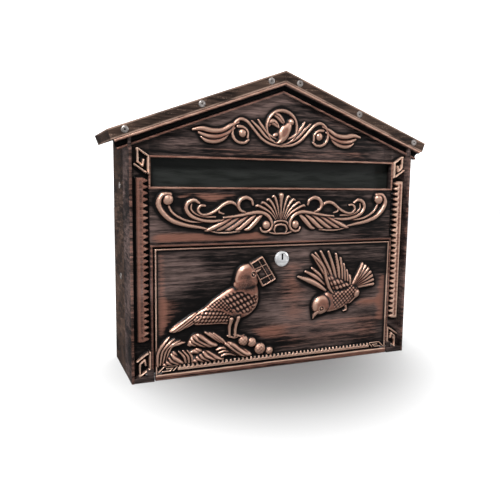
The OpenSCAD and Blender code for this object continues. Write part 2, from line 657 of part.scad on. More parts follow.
// Heap of rocks, leaves and pebbles under the dove.
module rocks() {
    lump([[-150, 16], [-146, 24], [-137, 33.5], [-130, 26], [-125, 16]], 5, 1);
    lump([[-114, 16], [-108, 26], [-98, 31], [-88, 26], [-74, 16]], 5, 1);
    lump([[-120, 38], [-116, 49], [-107, 52], [-96, 46], [-82, 35], [-95, 33], [-110, 36]], 5, 1);
    lump([[-76, 36], [-66, 38], [-52, 30], [-38, 19], [-50, 17], [-66, 24]], 5, 1);
    lump([[-118, 29.4], [-109, 35], [-101.6, 30.4], [-108, 27]], 4, 1);
    for (i = [0 : 3])
        rib([[-155 + i * 3, 17 + i * 1.5, 3], [-154.5 + i * 5, 32 + i * 2, 4],
             [-148 + i * 6, 43 - i * 0.5, 4.4], [-141 + i * 6, 50 - i * 2.6, 2]]);
    for (i = [0 : 2])
        rib([[-122 + i * 4, 18, 3], [-124 + i * 4.5, 25, 4], [-130 + i * 5, 32, 2]]);
    for (i = [0 : 2])
        rib([[-98 + i * 5, 51.5 - i, 3], [-90 + i * 5, 46 - i * 1.5, 4.4],
             [-80 + i * 5, 38 - i * 2, 2.4]]);
    for (i = [0 : 2])
        rib([[-84 + i * 3, 29 - i * 4, 3], [-76 + i * 3, 31 - i * 4, 4],
             [-68 + i * 4, 26 - i * 3, 2.4]]);
    knob(-50, 37, 6.6, 5);
    knob(-39, 34, 6, 5);
    knob(-28, 25, 7.4, 5);
    knob(-15, 21, 5, 3.6);
}

module low_border() {
    length = door_w - 52;
    count = floor(length / 5.2);
    translate([-length / 2, 0]) teeth(count, length / count, 13, 16, 9.6);
    for (s = [0, 1]) mirror([s, 0]) translate([-door_w / 2 + 3.5, 9.4]) {
        strip([[0, 0], [6.5, 6.4], [21, 6.4]], 1.6);
        strip([[4.4, 0.4], [13.5, 0.4], [16.6, 3.6], [9.5, 3.6]], 1.5);
        strip([[17.5, 0.4], [22, 5.2]], 1.6);
    }
}

module door_casting() {
    fit = door_w / 315;
    tall = door_top / 152.6;
    color(bronze) difference() {
        union() {
            slab(door_face, door_back) translate([-door_w / 2, 0.5])
                square([door_w, door_top - 0.5]);
            slab(door_face - 1, door_face + 1) ring_frame(-door_w / 2 + 2, door_w / 2 - 2, 4,
                                                          door_top - 2, 2);
            slab(1.5, door_face + 1) translate([-door_w / 2, 0.5]) square([door_w, 6.3]);
            slab(1.7, door_face + 1) low_border();
            for (s = [-1, 1]) {
                box_at(min(s * door_w / 2, s * (door_w / 2 - 2.5)), max(s * door_w / 2,
                       s * (door_w / 2 - 2.5)), door_face, return_y, 4, door_top);
                bar_x(min(s * door_w / 2, s * (door_w / 2 - 10)), max(s * door_w / 2,
                      s * (door_w / 2 - 10)), hinge_y, hinge_z, 6.2);
            }
            box_at(-door_w / 2, door_w / 2, door_face, return_y, door_top - 2.5, door_top);
            carved(door_face, 153, 16.5, 147, fit, tall, 0) {
                dove();
                letter();
                flying_bird();
                rocks();
            }
        }
        bar_y(0, lock_z, -3, 30, lock_barrel_d + 0.4);
        for (s = [-1, 1])
            bar_x(min(s * (door_w / 2 + 1), s * (door_w / 2 - 8)),
                  max(s * (door_w / 2 + 1), s * (door_w / 2 - 8)), hinge_y, hinge_z, pin_d + 0.2);
    }
}

module hinge_pin(s) {
    color(steel) bar_x(min(s * (door_w / 2 - 7.5), s * (open_half + 9.5)),
                       max(s * (door_w / 2 - 7.5), s * (open_half + 9.5)), hinge_y, hinge_z,
                       pin_d);
}

module hinge_pin_left() {
    hinge_pin(-1);
}

module hinge_pin_right() {
    hinge_pin(1);
}

module lock_housing() {
    color("silver") translate([0, door_face - tile_lift, lock_z]) rotate([-90, 0, 0]) difference() {
        rotate_extrude() polygon([[0, -2], [lock_head_d / 2 - 2, -2.6],
            [lock_head_d / 2 - 0.6, -2], [lock_head_d / 2, -0.8], [lock_head_d / 2, 0],
            [lock_barrel_d / 2, 0], [lock_barrel_d / 2, 17], [0, 17]]);
        translate([0, 0, -4]) cylinder(d = lock_plug_d + 0.2, h = 6);
        cylinder(d = lock_plug_d - 2 + 0.2, h = 20);
    }
}

module lock_plug() {
    color("silver") translate([0, door_face, lock_z]) rotate([-90, 0, 0]) difference() {
        union() {
            translate([0, 0, -2.2]) cylinder(d = lock_plug_d, h = 4);
            translate([0, 0, 1]) cylinder(d = lock_plug_d - 2, h = cam_y - door_face - 1.2);
            translate([-3.5, -3.5, 10]) cube([7, 7, cam_y + cam_t - door_face - 10 + 0.2]);
        }
        translate([-0.9, -lock_plug_d / 2 + 0.8, -3]) cube([1.8, lock_plug_d / 2, 9]);
        translate([0, 0, cam_y + cam_t - door_face - 8]) cylinder(d = 3.3, h = 12);
    }
}

module lock_washer() {
    color("silver") difference() {
        bar_y(0, lock_z, door_back + 0.2, door_back + 1, 24);
        bar_y(0, lock_z, door_back - 1, door_back + 2, lock_barrel_d + 0.2);
    }
}

module lock_nut() {
    color("silver") translate([0, door_back + 1, lock_z]) rotate([-90, 0, 0]) difference() {
        cylinder(d = 25, h = 4, $fn = 6);
        translate([0, 0, -1]) cylinder(d = lock_barrel_d, h = 6);
    }
}

// The cam lies to the side while the lock is open and stands up to lock.
module lock_cam() {
    color(steel) difference() {
        slab(cam_y, cam_y + cam_t) union() {
            translate([0, lock_z]) circle(8.5);
            translate([0, lock_z - 6]) square([cam_reach - 6, 12]);
            translate([cam_reach - 6, lock_z]) circle(6);
        }
        slab(cam_y - 1, cam_y + cam_t + 1) translate([-3.6, lock_z - 3.6]) square(7.2);
    }
}

module cam_washer() {
    color(steel) difference() {
        bar_y(0, lock_z, cam_y + cam_t + 0.2, cam_y + cam_t + 1.2, 11);
        bar_y(0, lock_z, cam_y + cam_t - 1, cam_y + cam_t + 2, 4.3);
    }
}

module cam_screw() {
    color(steel) translate([0, cam_y + cam_t + 1.2, lock_z]) rotate([-90, 0, 0]) {
        translate([0, 0, -8.5]) cylinder(d = 3.3, h = 8.6);
        difference() {
            cylinder(d = 8, h = 2.4);
            translate([-5, -0.6, 1.4]) cube([10, 1.2, 2]);
            translate([-0.6, -5, 1.4]) cube([1.2, 10, 2]);
        }
    }
}

module letter_flap() {
    color([0.1, 0.11, 0.1]) difference() {
        union() {
            box_at(-flap_half, flap_half, rod_y - sheet_t / 2, rod_y + sheet_t / 2,
                   slot_z - 7, rod_z - 2.2);
            bar_x(-flap_half, flap_half, rod_y, rod_z, rod_d + 0.2 + 2 * sheet_t);
            box_at(-flap_half, flap_half, rod_y - sheet_t / 2, rod_y + 4, slot_z - 7,
                   slot_z - 7 + sheet_t);
        }
        bar_x(-flap_half - 1, flap_half + 1, rod_y, rod_z, rod_d + 0.2);
    }
}

module flap_rod() {
    color(steel) bar_x(-lug_x - lug_t - 3, lug_x + lug_t + 3, rod_y, rod_z, rod_d);
}

module flap_rod_cap(s) {
    x0 = lug_x + lug_t;
    color(steel) difference() {
        bar_x(min(s * x0, s * (x0 + 1.6)), max(s * x0, s * (x0 + 1.6)), rod_y, rod_z, rod_d + 5);
        bar_x(min(s * (x0 - 1), s * (x0 + 3)), max(s * (x0 - 1), s * (x0 + 3)), rod_y, rod_z,
              rod_d);
    }
}

module flap_rod_cap_left() {
    flap_rod_cap(-1);
}

module flap_rod_cap_right() {
    flap_rod_cap(1);
}

placed() front_casting();
placed() front_walls();
placed() body_wrap();
placed() back_panel();
placed() roof_sheet();
placed() roof_rivets_front();
placed() roof_rivets_back();
placed() side_rivets_left();
placed() side_rivets_right();
placed() back_rivets();
placed() door_casting();
placed() hinge_pin_left();
placed() hinge_pin_right();
placed() lock_housing();
placed() lock_plug();
placed() lock_washer();
placed() lock_nut();
placed() lock_cam();
placed() cam_washer();
placed() cam_screw();
placed() letter_flap();
placed() flap_rod();
placed() flap_rod_cap_left();
placed() flap_rod_cap_right();
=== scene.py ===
import math

import bmesh
import bpy
import numpy as np
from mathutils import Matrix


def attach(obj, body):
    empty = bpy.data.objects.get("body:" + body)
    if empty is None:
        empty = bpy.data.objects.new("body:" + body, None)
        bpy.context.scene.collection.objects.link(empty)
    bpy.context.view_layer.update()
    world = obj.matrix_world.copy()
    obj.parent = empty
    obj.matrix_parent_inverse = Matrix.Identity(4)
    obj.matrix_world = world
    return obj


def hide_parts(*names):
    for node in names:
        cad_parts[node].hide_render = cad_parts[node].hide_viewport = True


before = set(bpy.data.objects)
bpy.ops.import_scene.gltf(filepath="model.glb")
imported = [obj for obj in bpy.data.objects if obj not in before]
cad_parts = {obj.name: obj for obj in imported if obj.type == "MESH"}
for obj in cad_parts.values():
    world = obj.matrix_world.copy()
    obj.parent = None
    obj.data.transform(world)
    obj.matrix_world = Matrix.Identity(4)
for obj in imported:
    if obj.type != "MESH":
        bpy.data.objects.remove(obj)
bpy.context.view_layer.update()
print("mailbox frame loaded")

# Sizes are in millimetres: x along the front, y the recess behind the front rim,
# z the height above the bottom. toFrame() turns them into the frame's metres.
mailbox = {
    "width": 370,
    "ridge": 358,
    "depth": 108,
    "wallHolesUp": 150,
    "roofSlope": 20.3,
    "gableGround": 11,      # recess of the flat ground behind the gable's scrolls
    "friezeGround": 9,
    "stileGround": 10,
    "plateBack": 12.3,
    "rimWidth": 3.2,
}
halfWidth = mailbox["width"] / 2
slope = math.radians(mailbox["roofSlope"])


def toFrame(points):
    shift = [0, mailbox["depth"], mailbox["wallHolesUp"]]
    return (np.asarray(points, float).reshape(-1, 3) - shift) * 0.001


def roofLine(x, drop=0.0):
    # height of the roof's top face, less a drop square to the slope
    return mailbox["ridge"] - np.abs(x) * math.tan(slope) - drop / math.cos(slope)


def wire(tree, value, socket):
    if isinstance(value, bpy.types.NodeSocket):
        tree.links.new(value, socket)
    else:
        socket.default_value = value


def calc(tree, operation, a, b=0.0, clamp=False):
    node = tree.nodes.new("ShaderNodeMath")
    node.operation, node.use_clamp = operation, clamp
    wire(tree, a, node.inputs[0])
    wire(tree, b, node.inputs[1])
    return node.outputs[0]


def times(tree, a, b, clamp=False):
    return calc(tree, "MULTIPLY", a, b, clamp)


def plus(tree, a, b):
    return calc(tree, "ADD", a, b)


def minus(tree, a, b, clamp=False):
    return calc(tree, "SUBTRACT", a, b, clamp)


def spread(tree, value, low, high, toLow=0.0, toHigh=1.0):
    node = tree.nodes.new("ShaderNodeMapRange")
    node.interpolation_type = "SMOOTHSTEP"
    for socket, v in zip(node.inputs, (value, low, high, toLow, toHigh)):
        wire(tree, v, socket)
    return node.outputs[0]


def blendColour(tree, share, first, second):
    node = tree.nodes.new("ShaderNodeMix")
    node.data_type = "RGBA"
    wire(tree, share, node.inputs[0])
    for value, socket in ((first, node.inputs[6]), (second, node.inputs[7])):
        wire(tree, (*value, 1) if isinstance(value, tuple) else value, socket)
    return node.outputs[2]


def noise(tree, stretch, detail=3.0, rough=0.55, seed=0.0):
    # stretch is how many blobs fit in a metre along x, y and z
    place = tree.nodes.new("ShaderNodeTexCoord")
    mapping = tree.nodes.new("ShaderNodeMapping")
    mapping.inputs["Scale"].default_value = stretch
    mapping.inputs["Location"].default_value = (seed, seed * 1.7, seed * 0.6)
    texture = tree.nodes.new("ShaderNodeTexNoise")
    texture.inputs["Scale"].default_value = 1
    texture.inputs["Detail"].default_value = detail
    texture.inputs["Roughness"].default_value = rough
    tree.links.new(place.outputs["Object"], mapping.inputs["Vector"])
    tree.links.new(mapping.outputs[0], texture.inputs["Vector"])
    return texture.outputs[0]


def mark(tree, name):
    node = tree.nodes.new("ShaderNodeAttribute")
    node.attribute_name = name
    return node.outputs["Fac"]


def startMaterial(name):
    material = bpy.data.materials.new(name)
    material.use_nodes = True
    tree = material.node_tree
    tree.nodes.clear()
    shader = tree.nodes.new("ShaderNodeBsdfPrincipled")
    out = tree.nodes.new("ShaderNodeOutputMaterial")
    tree.links.new(shader.outputs[0], out.inputs[0])
    return material, tree, shader


def feed(tree, shader, **values):
    # base, metallic, roughness, specular, emission, glow: numbers, colours or sockets
    names = {"base": "Base Color", "metallic": "Metallic", "roughness": "Roughness",
             "specular": "Specular IOR Level", "emission": "Emission Color",
             "glow": "Emission Strength"}
    for key, value in values.items():
        wire(tree, value, shader.inputs[names[key]])


def addBump(tree, shader, height, distance, strength=1.0):
    bump = tree.nodes.new("ShaderNodeBump")
    bump.inputs["Strength"].default_value = strength
    bump.inputs["Distance"].default_value = distance
    tree.links.new(height, bump.inputs["Height"])
    tree.links.new(bump.outputs[0], shader.inputs["Normal"])


patina = {
    "black": (0.0035, 0.003, 0.003),
    "brown": (0.190, 0.126, 0.112),
    "copper": (0.35, 0.160, 0.115),
    "highlightCopper": (0.88, 0.60, 0.46),
    "brushing": (12, 60, 330),      # long streaks along the front
    "hairlines": (70, 300, 1500),
    "clouds": (9, 20, 22),
    "grain": (700, 700, 700),
    "streakShare": 0.52,            # how much each noise or mark counts
    "hairShare": 0.48,
    "brushStrength": 2.6,
    "liftShare": 0.26,
    "crestShare": 0.8,
    "grainStrength": 0.5,
    "hollowKeeps": 1.3,
    "hollowDarkAndShade": 1.2,
    "rubbedFrom": (0.15, 1.0),      # where each share starts and where it is full
    "raisedFrom": (0.14, 0.95),
    "wornFrom": (0.43, 0.68),
    "highlightFrom": (0.62, 1.35),
    "roughness": (0.28, 0.50),
    "metallic": 0.65,
    "specular": 0.22,
}


def patinaCasting():
    # black lacquer, dry-brushed with copper wherever the casting stands up; hollows get painted
    # shade and crests a painted highlight
    material, tree, shader = startMaterial("copperPatinaWithPaintedShading")
    lift, crest, hollow, rub = (mark(tree, n) for n in ("lift", "crest", "hollow", "rub"))
    streak = noise(tree, patina["brushing"], 4, 0.6)
    hairs = noise(tree, patina["hairlines"], 3, 0.6, 3.1)
    clouds = noise(tree, patina["clouds"], 3, 0.5, 9.2)
    grain = noise(tree, patina["grain"], 2, 0.5, 7.7)
    brushed = plus(tree, times(tree, streak, patina["streakShare"]),
                   times(tree, hairs, patina["hairShare"]))
    rubbed = plus(tree, rub, times(tree, minus(tree, brushed, 0.5), patina["brushStrength"]))
    rubbed = times(tree, spread(tree, rubbed, *patina["rubbedFrom"]), spread(tree, rub, 0.0, 0.3))
    raised = plus(tree, times(tree, lift, patina["liftShare"]),
                  times(tree, crest, patina["crestShare"]))
    raised = plus(tree, raised, times(tree, minus(tree, grain, 0.5), patina["grainStrength"]))
    raised = times(tree, spread(tree, raised, *patina["raisedFrom"]),
                   spread(tree, lift, 0.15, 0.6))
    amount = calc(tree, "MAXIMUM", raised, rubbed)
    amount = minus(tree, amount, times(tree, hollow, patina["hollowKeeps"]), True)
    wornGround = plus(tree, times(tree, brushed, 0.6), times(tree, clouds, 0.4))
    lacquer = blendColour(tree, spread(tree, wornGround, *patina["wornFrom"]),
                          patina["black"], patina["brown"])
    colour = blendColour(tree, amount, lacquer, patina["copper"])
    # painted highlight: pale copper on the crests and rubbed places
    highlight = plus(tree, crest, times(tree, rubbed, 0.5))
    highlight = times(tree, spread(tree, highlight, *patina["highlightFrom"]), amount)
    colour = blendColour(tree, highlight, colour, patina["highlightCopper"])
    # painted shade: hollows go to black, over the black lacquer that stays there
    colour = blendColour(tree, times(tree, hollow, patina["hollowDarkAndShade"], True), colour,
                         patina["black"])
    feed(tree, shader, base=colour, metallic=times(tree, amount, patina["metallic"]),
         roughness=spread(tree, grain, 0.2, 0.8, *patina["roughness"]),
         specular=patina["specular"])
    addBump(tree, shader, plus(tree, times(tree, grain, 0.6), hairs), 0.0003, 0.5)
    return material


sheetPaint = {
    "dark": (0.010, 0.007, 0.006),
    "worn": (0.20, 0.120, 0.086),
    "bare": (0.40, 0.27, 0.21),
    "blotches": (14, 22, 40),
    "scratches": (30, 60, 420),
    "grain": (800, 800, 800),
    "wornFrom": (0.36, 0.66),
    "bareFrom": (0.32, 0.46),
    "bareShare": 0.3,
    "bareEdgeFrom": (0.3, 0.55),
    "roughness": (0.38, 0.58),
    "metallic": 0.15,
    "specular": 0.15,
}

# edge wear of the roof in millimetres: bands on its folded strips, each
# (drop below the top face, reach, share), and one along the top's front edge
roofWear = {
    "stripBands": ((0.6, 1.6, 0.8), (11.4, 1.6, 0.75)),
    "frontEdge": -0.107,
    "frontReach": 3.5,
    "frontShare": 0.6,
}


def paintedSheet(name, wear, isRoof=False):
    # brown sheet paint with worn blotches
    material, tree, shader = startMaterial(name)
    blotch = noise(tree, sheetPaint["blotches"], 5, 0.65, 1.3)
    scratch = noise(tree, sheetPaint["scratches"], 3, 0.6, 4.2)
    grain = noise(tree, sheetPaint["grain"], 2, 0.5, 2.4)
    worn = plus(tree, times(tree, blotch, 0.6), times(tree, scratch, 0.4))
    worn = times(tree, spread(tree, worn, *sheetPaint["wornFrom"]), wear)
    bare = spread(tree, times(tree, grain, scratch), *sheetPaint["bareFrom"])
    bare = times(tree, bare, sheetPaint["bareShare"])
    if isRoof:
        edges = times(tree, roofEdges(tree), spread(tree, blotch, *sheetPaint["bareEdgeFrom"]))
        bare = calc(tree, "MAXIMUM", bare, edges)
    colour = blendColour(tree, worn, sheetPaint["dark"], sheetPaint["worn"])
    colour = blendColour(tree, bare, colour, sheetPaint["bare"])
    feed(tree, shader, base=colour, metallic=sheetPaint["metallic"],
         specular=sheetPaint["specular"],
         roughness=spread(tree, scratch, 0.3, 0.7, *sheetPaint["roughness"]))
    addBump(tree, shader, plus(tree, grain, scratch), 0.0002, 0.5)
    return material


def roofEdges(tree):
    place = tree.nodes.new("ShaderNodeTexCoord")
    apart, facing = (tree.nodes.new("ShaderNodeSeparateXYZ") for _ in range(2))
    tree.links.new(place.outputs["Object"], apart.inputs[0])
    tree.links.new(place.outputs["Normal"], facing.inputs[0])
    upright = spread(tree, facing.outputs[2], 0.5, 0.8, 1.0, 0.0)
    along = times(tree, calc(tree, "ABSOLUTE", apart.outputs[0]), math.tan(slope))
    top = (mailbox["ridge"] - mailbox["wallHolesUp"]) * 0.001
    drop = minus(tree, minus(tree, top, along), apart.outputs[2])
    drop = times(tree, drop, 1000 * math.cos(slope))
    bands = [(minus(tree, drop, middle), reach, share, upright)
             for middle, reach, share in roofWear["stripBands"]]
    front = times(tree, minus(tree, apart.outputs[1], roofWear["frontEdge"]), 1000)
    bands.append((front, roofWear["frontReach"], roofWear["frontShare"],
                  minus(tree, 1.0, upright)))
    worn = 0.0
    for away, reach, share, where in bands:
        near = spread(tree, calc(tree, "ABSOLUTE", away), 0.0, reach, share, 0.0)
        worn = calc(tree, "MAXIMUM", worn, times(tree, near, where))
    return worn


def plainMetal(name, colour, roughness, metallic, scratches):
    # small hardware: one metal with fine scratches and dulled patches
    material, tree, shader = startMaterial(name)
    scratch = noise(tree, scratches, 4, 0.6, 5.5)
    low = tuple(c * 0.62 for c in colour)
    base = blendColour(tree, spread(tree, scratch, 0.3, 0.65), low, colour)
    feed(tree, shader, base=base, metallic=metallic,
         roughness=spread(tree, scratch, 0.25, 0.75, roughness * 0.7, roughness * 1.35))
    addBump(tree, shader, scratch, 0.0001, 0.25)
    return material


def plugWithShadedKeyway():
    # the plug's chrome, with painted shade inside the keyway: near black there, and not metal
    material = plainMetal("chromePlugShadedKeyway", *hardware["polishedChrome"])
    tree = material.node_tree
    shader = next(n for n in tree.nodes if n.type == "BSDF_PRINCIPLED")
    place, apart = (tree.nodes.new("ShaderNode" + k) for k in ("TexCoord", "SeparateXYZ"))
    tree.links.new(place.outputs["Object"], apart.inputs[0])
    inside = 1.0
    for output, middle, half in ((0, 0.0, keyway["halfWidth"]),
                                 (2, keyway["middle"], keyway["halfHeight"])):
        away = calc(tree, "ABSOLUTE", minus(tree, apart.outputs[output], middle))
        inside = times(tree, inside, spread(tree, away, half, half + 0.0001, 1.0, 0.0))
    plain = shader.inputs["Base Color"].links[0].from_socket
    metallic = times(tree, minus(tree, 1.0, inside), hardware["polishedChrome"][2])
    feed(tree, shader, base=blendColour(tree, inside, plain, keyway["colour"]), metallic=metallic)
    return material


# colour, roughness, metallic share, scratches
hardware = {
    "polishedChrome": ((0.95, 0.95, 0.96), 0.22, 0.45, (50, 50, 160)),
    "zincHardware": ((0.55, 0.56, 0.57), 0.38, 1.0, (90, 90, 90)),
    "dullRivet": ((0.42, 0.38, 0.36), 0.34, 0.6, (90, 90, 90)),
    "blackFlapPaint": ((0.010, 0.012, 0.010), 0.45, 0.0, (30, 200, 200)),
}
# the keyway's place in the plug, in metres, and the colour of the painted shade inside it
keyway = {"middle": -0.0123, "halfWidth": 0.001, "halfHeight": 0.0038,
          "colour": (0.006, 0.006, 0.007)}
castingPatinaAndShading = patinaCasting()
bodyFinish = paintedSheet("wornBrownSheet", 0.55)
roofFinish = paintedSheet("roofPaint", 0.35, isRoof=True)
panelFinish = paintedSheet("backPanelPaint", 0.25)
chromeFinish, zincFinish, rivetFinish, flapFinish = (
    plainMetal(name, *values) for name, values in hardware.items())
plugWithKeywayShade = plugWithShadedKeyway()
print("finishes made")


def smoothLine(points, steps, closed=False):
    p = np.asarray(points, float)
    if steps < 2:
        return np.vstack([p, p[:1]]) if closed else p
    n = len(p)
    out = []
    for i in range(n if closed else n - 1):
        a, b, c, d = (p[j % n] if closed else p[min(max(j, 0), n - 1)]
                      for j in range(i - 1, i + 3))
        for k in range(steps):
            t = k / steps
            out.append(0.5 * (2 * b + (c - a) * t + (2 * a - 5 * b + 4 * c - d) * t * t
                              + (3 * b - a - 3 * c + d) * t ** 3))
    out.append(p[0] if closed else p[-1])
    return np.array(out)


def newCanvas(columns, low, high, rows):
    # columns are x places; each runs from low to high in the same number of rows
    share = np.linspace(0, 1, rows)[:, None]
    lowLine, highLine = (np.broadcast_to(v, columns.shape)[None, :] for v in (low, high))
    z = lowLine + (highLine - lowLine) * share
    return {"x": columns, "z": z, "height": np.zeros_like(z), "rub": np.zeros_like(z)}


def columnSteps(*spans):
    # spans are (end, step): even steps up to each end, one after another
    out = [spans[0][0]]
    for end, step in spans[1:]:
        n = max(1, int(round((end - out[-1]) / step)))
        out += list(np.linspace(out[-1], end, n + 1)[1:])
    return np.array(out)


def window(canvas, xLow, xHigh, zLow, zHigh):
    c = slice(*np.searchsorted(canvas["x"], [xLow, xHigh]))
    z = canvas["z"][:, c]
    near = np.where(((z > zLow) & (z < zHigh)).any(axis=1))[0]
    if z.shape[1] == 0 or len(near) == 0:
        return None
    r = slice(near[0], near[-1] + 1)
    return (r, c), canvas["x"][None, c], canvas["z"][r, c]


def raiseTo(canvas, part, height):
    canvas["height"][part] = np.maximum(canvas["height"][part], height)


def rib(canvas, points, lift=0.55, steps=7, power=0.6, top=None):
    # rounded ridge along [x, z, width]; with top it is a flat strip of that height
    line = smoothLine(points, steps)
    for a, b in zip(line[:-1], line[1:]):
        reach = max(a[2], b[2]) / 2
        found = window(canvas, min(a[0], b[0]) - reach, max(a[0], b[0]) + reach,
                       min(a[1], b[1]) - reach, max(a[1], b[1]) + reach)
        if found is None:
            continue
        part, x, z = found
        d = b[:2] - a[:2]
        t = np.clip(((x - a[0]) * d[0] + (z - a[1]) * d[1]) / max(d @ d, 1e-9), 0, 1)
        away = np.hypot(x - a[0] - t * d[0], z - a[1] - t * d[1])
        half = np.maximum(a[2] + (b[2] - a[2]) * t, 0.8) / 2
        if top is None:
            h = 2 * half * lift * np.clip(1 - (away / half) ** 2, 0, 1) ** power
        else:
            h = top * np.clip((half - away) / 0.7, 0, 1) ** 0.5
        raiseTo(canvas, part, h)


def fan(canvas, first, move, count, lift, side=list):
    # strokes side by side, each moved on by (x, z) at every point
    for i in range(count):
        rib(canvas, side([[x + i * dx, z + i * dz, width]
                          for (x, z, width), (dx, dz) in zip(first, move)]), lift)


def depthInside(canvas, ring, steps=6):
    # how deep each grid point lies inside a smooth closed ring, 0 outside
    line = smoothLine(ring, steps, closed=True)
    part, x, z = window(canvas, line[:, 0].min(), line[:, 0].max(),
                        line[:, 1].min(), line[:, 1].max())
    x = np.broadcast_to(x, z.shape)
    inside, away = np.zeros(z.shape, bool), np.full(z.shape, 1e9)
    for a, b in zip(line[:-1, :2], line[1:, :2]):
        if a[1] != b[1]:
            crosses = (a[1] > z) != (b[1] > z)
            inside ^= crosses & (x < (b[0] - a[0]) * (z - a[1]) / (b[1] - a[1]) + a[0])
        d = b - a
        t = np.clip(((x - a[0]) * d[0] + (z - a[1]) * d[1]) / max(d @ d, 1e-9), 0, 1)
        away = np.minimum(away, np.hypot(x - a[0] - t * d[0], z - a[1] - t * d[1]))
    return part, x, z, np.where(inside, away, 0.0)


def mound(canvas, ring, height, reach, steps=6, join=False):
    # join melts the mound into what is already there instead of leaving a crease
    part, _, _, depth = depthInside(canvas, ring, steps)
    k = 1 - np.clip(depth / reach, 0, 1)
    h, under = height * np.sqrt(1 - k * k), canvas["height"][part]
    canvas["height"][part] = (h ** 5 + under ** 5) ** 0.2 if join else np.maximum(under, h)


def ball(canvas, x0, z0, radius, height):
    part, x, z = window(canvas, x0 - radius, x0 + radius, z0 - radius, z0 + radius)
    h = height * np.clip(1 - ((x - x0) ** 2 + (z - z0) ** 2) / radius ** 2, 0, 1) ** 0.5
    raiseTo(canvas, part, h)


def grooves(x, z, angle, pitch, shift=0.0):
    # 0 along grooves that run at this angle, 1 halfway between them
    a = math.radians(angle)
    f = (z * math.cos(a) - x * math.sin(a)) / pitch + shift
    return 1 - np.abs(2 * (f - np.floor(f)) - 1)


def feathers(canvas, ring, first, second, deep, edge=2.0):
    # lozenge feathers between two families of grooves, each (angle, pitch)
    part, x, z, depth = depthInside(canvas, ring)
    cell = (grooves(x, z, *first) * grooves(x, z, *second)) ** 0.5
    canvas["height"][part] += deep * (cell - 0.75) * np.clip(depth / edge, 0, 1)


def fromTooth(along, pitch):
    # distance to the middle of the nearest tooth
    phase = along / pitch
    return np.abs(phase - np.floor(phase) - 0.5) * pitch


def roundedUp(inside, soft, height):
    # a flat top of this height with quarter-round edges
    edge = 1 - np.clip(inside / soft, 0, 1)
    return height * np.sqrt(1 - edge ** 2)


def mirrored(points):
    return [[-p[0], *p[1:]] for p in points]


def smoothed(field, reach):
    kernel = np.exp(-0.5 * (np.arange(-reach * 2, reach * 2 + 1) / reach) ** 2)
    kernel /= kernel.sum()
    for axis in (0, 1):
        padded = np.pad(field, [(reach * 2, reach * 2) if a == axis else (0, 0) for a in (0, 1)],
                        mode="edge")
        length = field.shape[axis]
        field = sum(k * np.take(padded, range(i, i + length), axis=axis)
                    for i, k in enumerate(kernel))
    return field


def rubbedBands(canvas, bands, both=False):
    # where the copper brush went over flat ground; bands are
    # (x0, x1, z0, z1, softness of the ends, amount); with both, x counts to either side
    x, z = canvas["x"][None, :], canvas["z"]
    x = np.abs(x) if both else x
    total = np.zeros_like(z)
    for x0, x1, z0, z1, soft, amount in bands:
        inX = np.clip((x - x0) / soft, 0, 1) * np.clip((x1 - x) / soft, 0, 1)
        inZ = np.clip((z - z0) / (soft * 0.3), 0, 1) * np.clip((z1 - z) / (soft * 0.3), 0, 1)
        total += amount * inX * inZ
    return total


def addMesh(name, points, faces, body, material, marks=None, replaced=()):
    mesh = bpy.data.meshes.new(name)
    mesh.from_pydata(toFrame(points).tolist(), [], faces)
    mesh.polygons.foreach_set("use_smooth", [True] * len(mesh.polygons))
    for key, values in (marks or {}).items():
        layer = mesh.attributes.new(key, "FLOAT", "POINT")
        layer.data.foreach_set("value", np.asarray(values, np.float32).ravel())
    mesh.materials.append(material)
    piece = bpy.data.objects.new(name, mesh)
    bpy.context.scene.collection.objects.link(piece)
    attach(piece, body)
    if replaced:
        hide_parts(*replaced)
    return piece


# reaches in grid steps; what stands up by fullLift millimetres counts as fully raised
# the shade entries set painted shade on the ground next to raised ornament
reliefWearAndShading = {"fineReach": 2, "wideReach": 5, "shadeReach": 7, "fullLift": 2.2,
              "fineShare": 2.2, "wideShare": 0.8, "hollowShare": 1.3, "shadeShare": 1.6}


